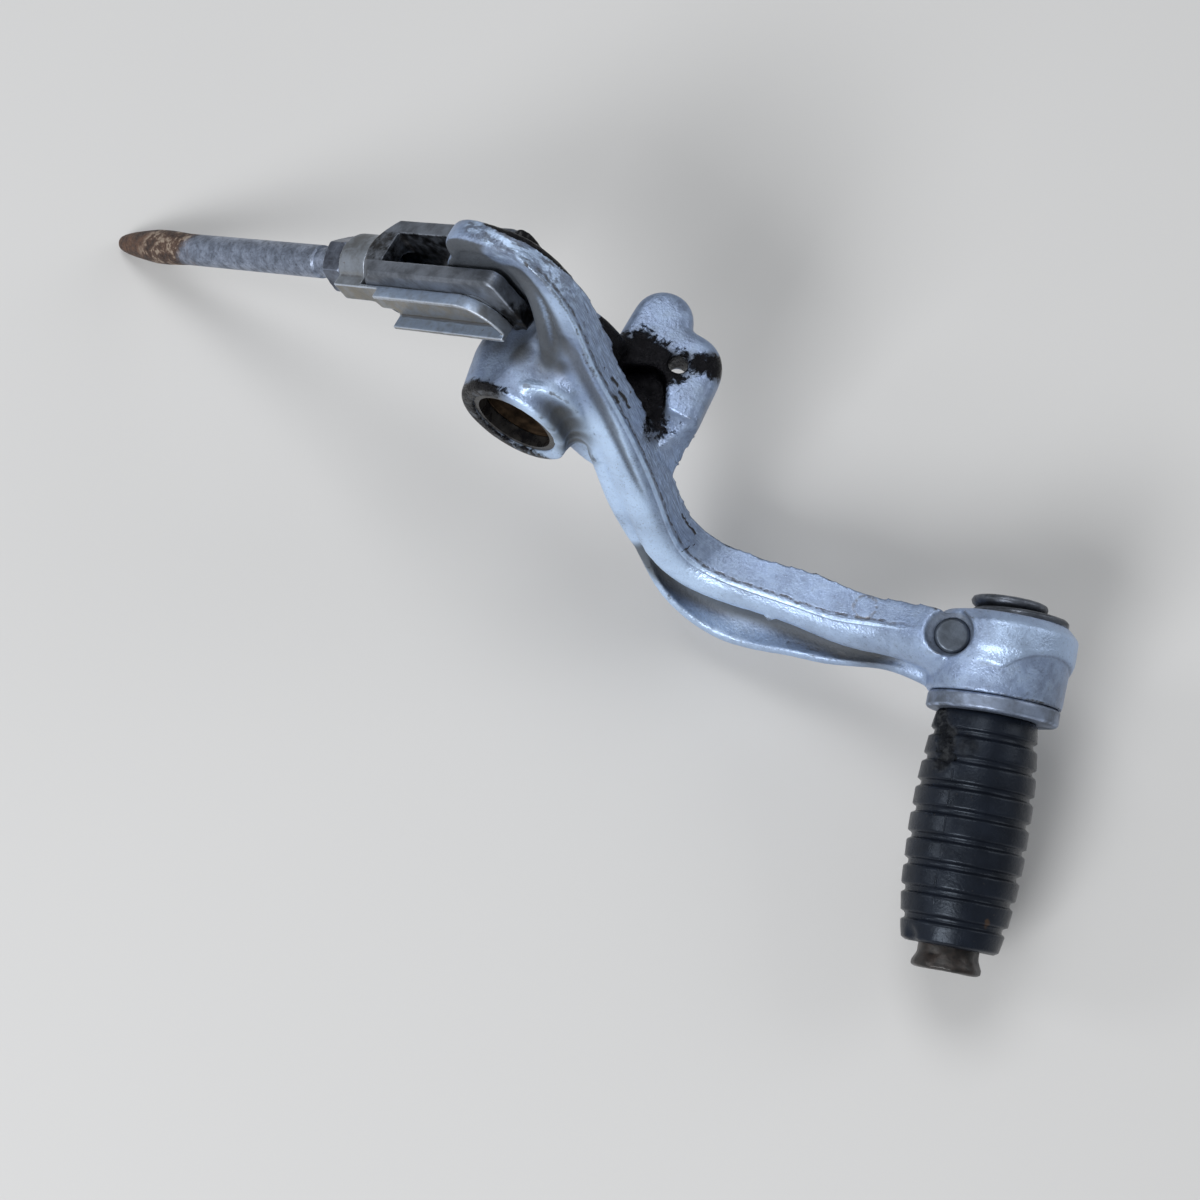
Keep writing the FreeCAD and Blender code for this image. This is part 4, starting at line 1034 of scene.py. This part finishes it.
class PEDAL_OT_sleeve(bpy.types.Operator):
    """Ribbed rubber sleeve of the peg, worn and torn"""
    bl_idname = "pedal.sleeve"
    bl_label = "Rubber sleeve"

    inputs = "ribs pitch groove depth top_radius mid_radius end_radius bore edge".split()
    rows_per_rib = 18
    spokes = 250
    # In millimetres: the line of the tear, and places with a radius of its lump, its hole and
    # the chip at the free end.
    tear = [(114.8, -20.6, -27.4), (117.4, -23.6, -26.8), (119, -25.6, -25),
            (120.2, -28, -24.2), (120.8, -31.6, -25.2)]
    lump = (124.4, -27.2, -21.1)
    hole = ((119.4, -25.8, -24), 1.8)
    end_chip = ((131.6, -68.4, -37), 3)

    def tree(self, material):
        """Geometry nodes that roll a grid up into a ribbed tube with a bore."""
        tree = bpy.data.node_groups.new("ribbed_sleeve", 'GeometryNodeTree')
        sockets = {}
        new_socket = tree.interface.new_socket
        new_socket(name="Geometry", in_out='OUTPUT', socket_type='NodeSocketGeometry')
        for name in self.inputs:
            kind = 'NodeSocketInt' if name == "ribs" else 'NodeSocketFloat'
            sockets[name] = new_socket(name=name, in_out='INPUT', socket_type=kind).identifier
        g = Graph(tree)
        given = g.add("NodeGroupInput", {}).outputs
        values = [Value(g, given[name]) for name in self.inputs]
        ribs, pitch, groove, depth, top, middle, end, bore, edge = values
        rows = ribs * self.rows_per_rib
        grid = g.value("GeometryNodeMeshGrid", {"Size X": 1, "Size Y": 1, "Vertices X": rows + 4,
                                                "Vertices Y": self.spokes + 1}, "Mesh")
        position = g.add("ShaderNodeSeparateXYZ", {0: g.value("GeometryNodeInputPosition", {})})
        across, around = [Value(g, position.outputs[k]) for k in (0, 1)]
        step = g.math('ROUND', (across + 0.5) * (rows + 3))
        turn = (around + 0.5) * (-2 * math.pi)
        solid = ribs * pitch - groove
        share = g.math('DIVIDE', step, rows)
        travel = share * solid
        in_pitch = g.math('MODULO', travel, pitch)
        # Across one pitch: a rib that rises and falls, and a groove with a low swell.
        rib = pitch - groove
        rise = g.fade(in_pitch, edge * -0.35, edge)
        fall = g.fade(in_pitch, rib, rib - edge)
        swell = g.fade(in_pitch, pitch - edge * 0.35, pitch)
        crest = g.most(rise * fall, swell * 0.2)
        # Along the sleeve: a barrel whose ends have their own radii, closed onto the bore.
        half = (share - 0.5) * 2
        end_r = g.choose(g.math('LESS_THAN', half, 0), top, end)
        crown = middle + g.math('POWER', abs(half), 2.4) * (end_r - middle)
        outer = crown - (1 - crest) * depth
        radius = g.choose(g.math('LESS_THAN', step, rows + 0.5), outer, bore)
        first_or_last = g.math('GREATER_THAN', step, rows + 2.5) + g.math('LESS_THAN', step, 0.5)
        radius = g.choose(first_or_last, top - depth * 0.55, radius)
        inward = g.math('GREATER_THAN', step, rows + 1.5)
        moved = g.vector(radius * g.math('COSINE', turn), radius * g.math('SINE', turn),
                         (1 - inward) * g.math('MINIMUM', travel, solid))
        tube = g.value("GeometryNodeSetPosition", {"Geometry": grid, "Position": moved})
        stored = {"Geometry": tube, "Name": "crown", "Value": crest}
        tube = g.value("GeometryNodeStoreNamedAttribute", stored, data_type='FLOAT', domain='POINT')
        tube = g.value("GeometryNodeMergeByDistance", {"Geometry": tube, "Distance": WELD})
        tube = g.value("GeometryNodeRealizeInstances", {0: tube})
        tube = g.value("GeometryNodeSetMaterial", {"Geometry": tube, "Material": material})
        g.add("NodeGroupOutput", {0: tube})
        return tree, sockets

    def execute(self, context):
        settings = context.scene.pedal_sleeve
        material = old_rubber(settings)
        tree, sockets = self.tree(material)
        holder = linked("holder", bpy.data.meshes.new("holder"))
        modifier = holder.modifiers.new("ribs", 'NODES')
        modifier.node_group = tree
        for name in self.inputs:
            modifier[sockets[name]] = getattr(settings, name)
        mesh = plain_mesh(holder, "peg_sleeve")
        bpy.data.objects.remove(holder)
        mesh.transform(peg_axes() @ Matrix.Translation((settings.offset, 0, settings.start)))
        skin = Skin(mesh)
        frayed = ramp(from_line(skin.points, self.tear)[0], 3.4, 1.6)
        rough = ripple(skin.points, 0.0011) + 0.6 * ripple(skin.points, 0.0005, 2)
        height = frayed * (rough * 0.75 - 0.35) + 1.1 * near(skin.points, self.lump, 2.6)
        height -= 1.3 * near(skin.points, *self.hole) + 0.9 * near(skin.points, *self.end_chip)
        skin.push(skin.normals(), height + ripple(skin.points, 0.006, 1) * 0.12)
        skin.mark("torn", strongest(frayed, 0.7 * near(skin.points, self.lump, 4)))
        stand_in(skin, "peg_rubber", "peg_sleeve", material, "pedal")
        return {'FINISHED'}


class PEDAL_PT_panel(bpy.types.Panel):
    """Lists the pieces of the brake pedal and their settings"""
    bl_label = "Brake Pedal"
    bl_idname = "PEDAL_PT_panel"
    bl_space_type = 'VIEW_3D'
    bl_region_type = 'UI'
    bl_category = "Brake Pedal"

    def draw(self, context):
        for step in STEPS:
            self.layout.operator("pedal." + step)
        for name in SETTINGS:
            group = getattr(context.scene, name)
            box = self.layout.box()
            for key in group.__annotations__:
                box.prop(group, key)


STEPS = ("camera", "arm", "pivot", "linkage", "peg", "sleeve", "stage")
SETTINGS = {"pedal_arm": ArmSettings, "pedal_sleeve": SleeveSettings, "pedal_stage": StageSettings}
CLASSES = (*SETTINGS.values(), PEDAL_OT_camera, PEDAL_OT_arm, PEDAL_OT_pivot, PEDAL_OT_linkage,
           PEDAL_OT_peg, PEDAL_OT_sleeve, PEDAL_OT_stage, PEDAL_PT_panel)


def register():
    for kind in CLASSES:
        bpy.utils.register_class(kind)
    for name, kind in SETTINGS.items():
        setattr(bpy.types.Scene, name, bpy.props.PointerProperty(type=kind))


def unregister():
    for name in SETTINGS:
        delattr(bpy.types.Scene, name)
    for kind in reversed(CLASSES):
        bpy.utils.unregister_class(kind)


def main():
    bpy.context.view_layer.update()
    register()
    for step in STEPS:
        getattr(bpy.ops.pedal, step)()


if __name__ == "__main__":
    main()
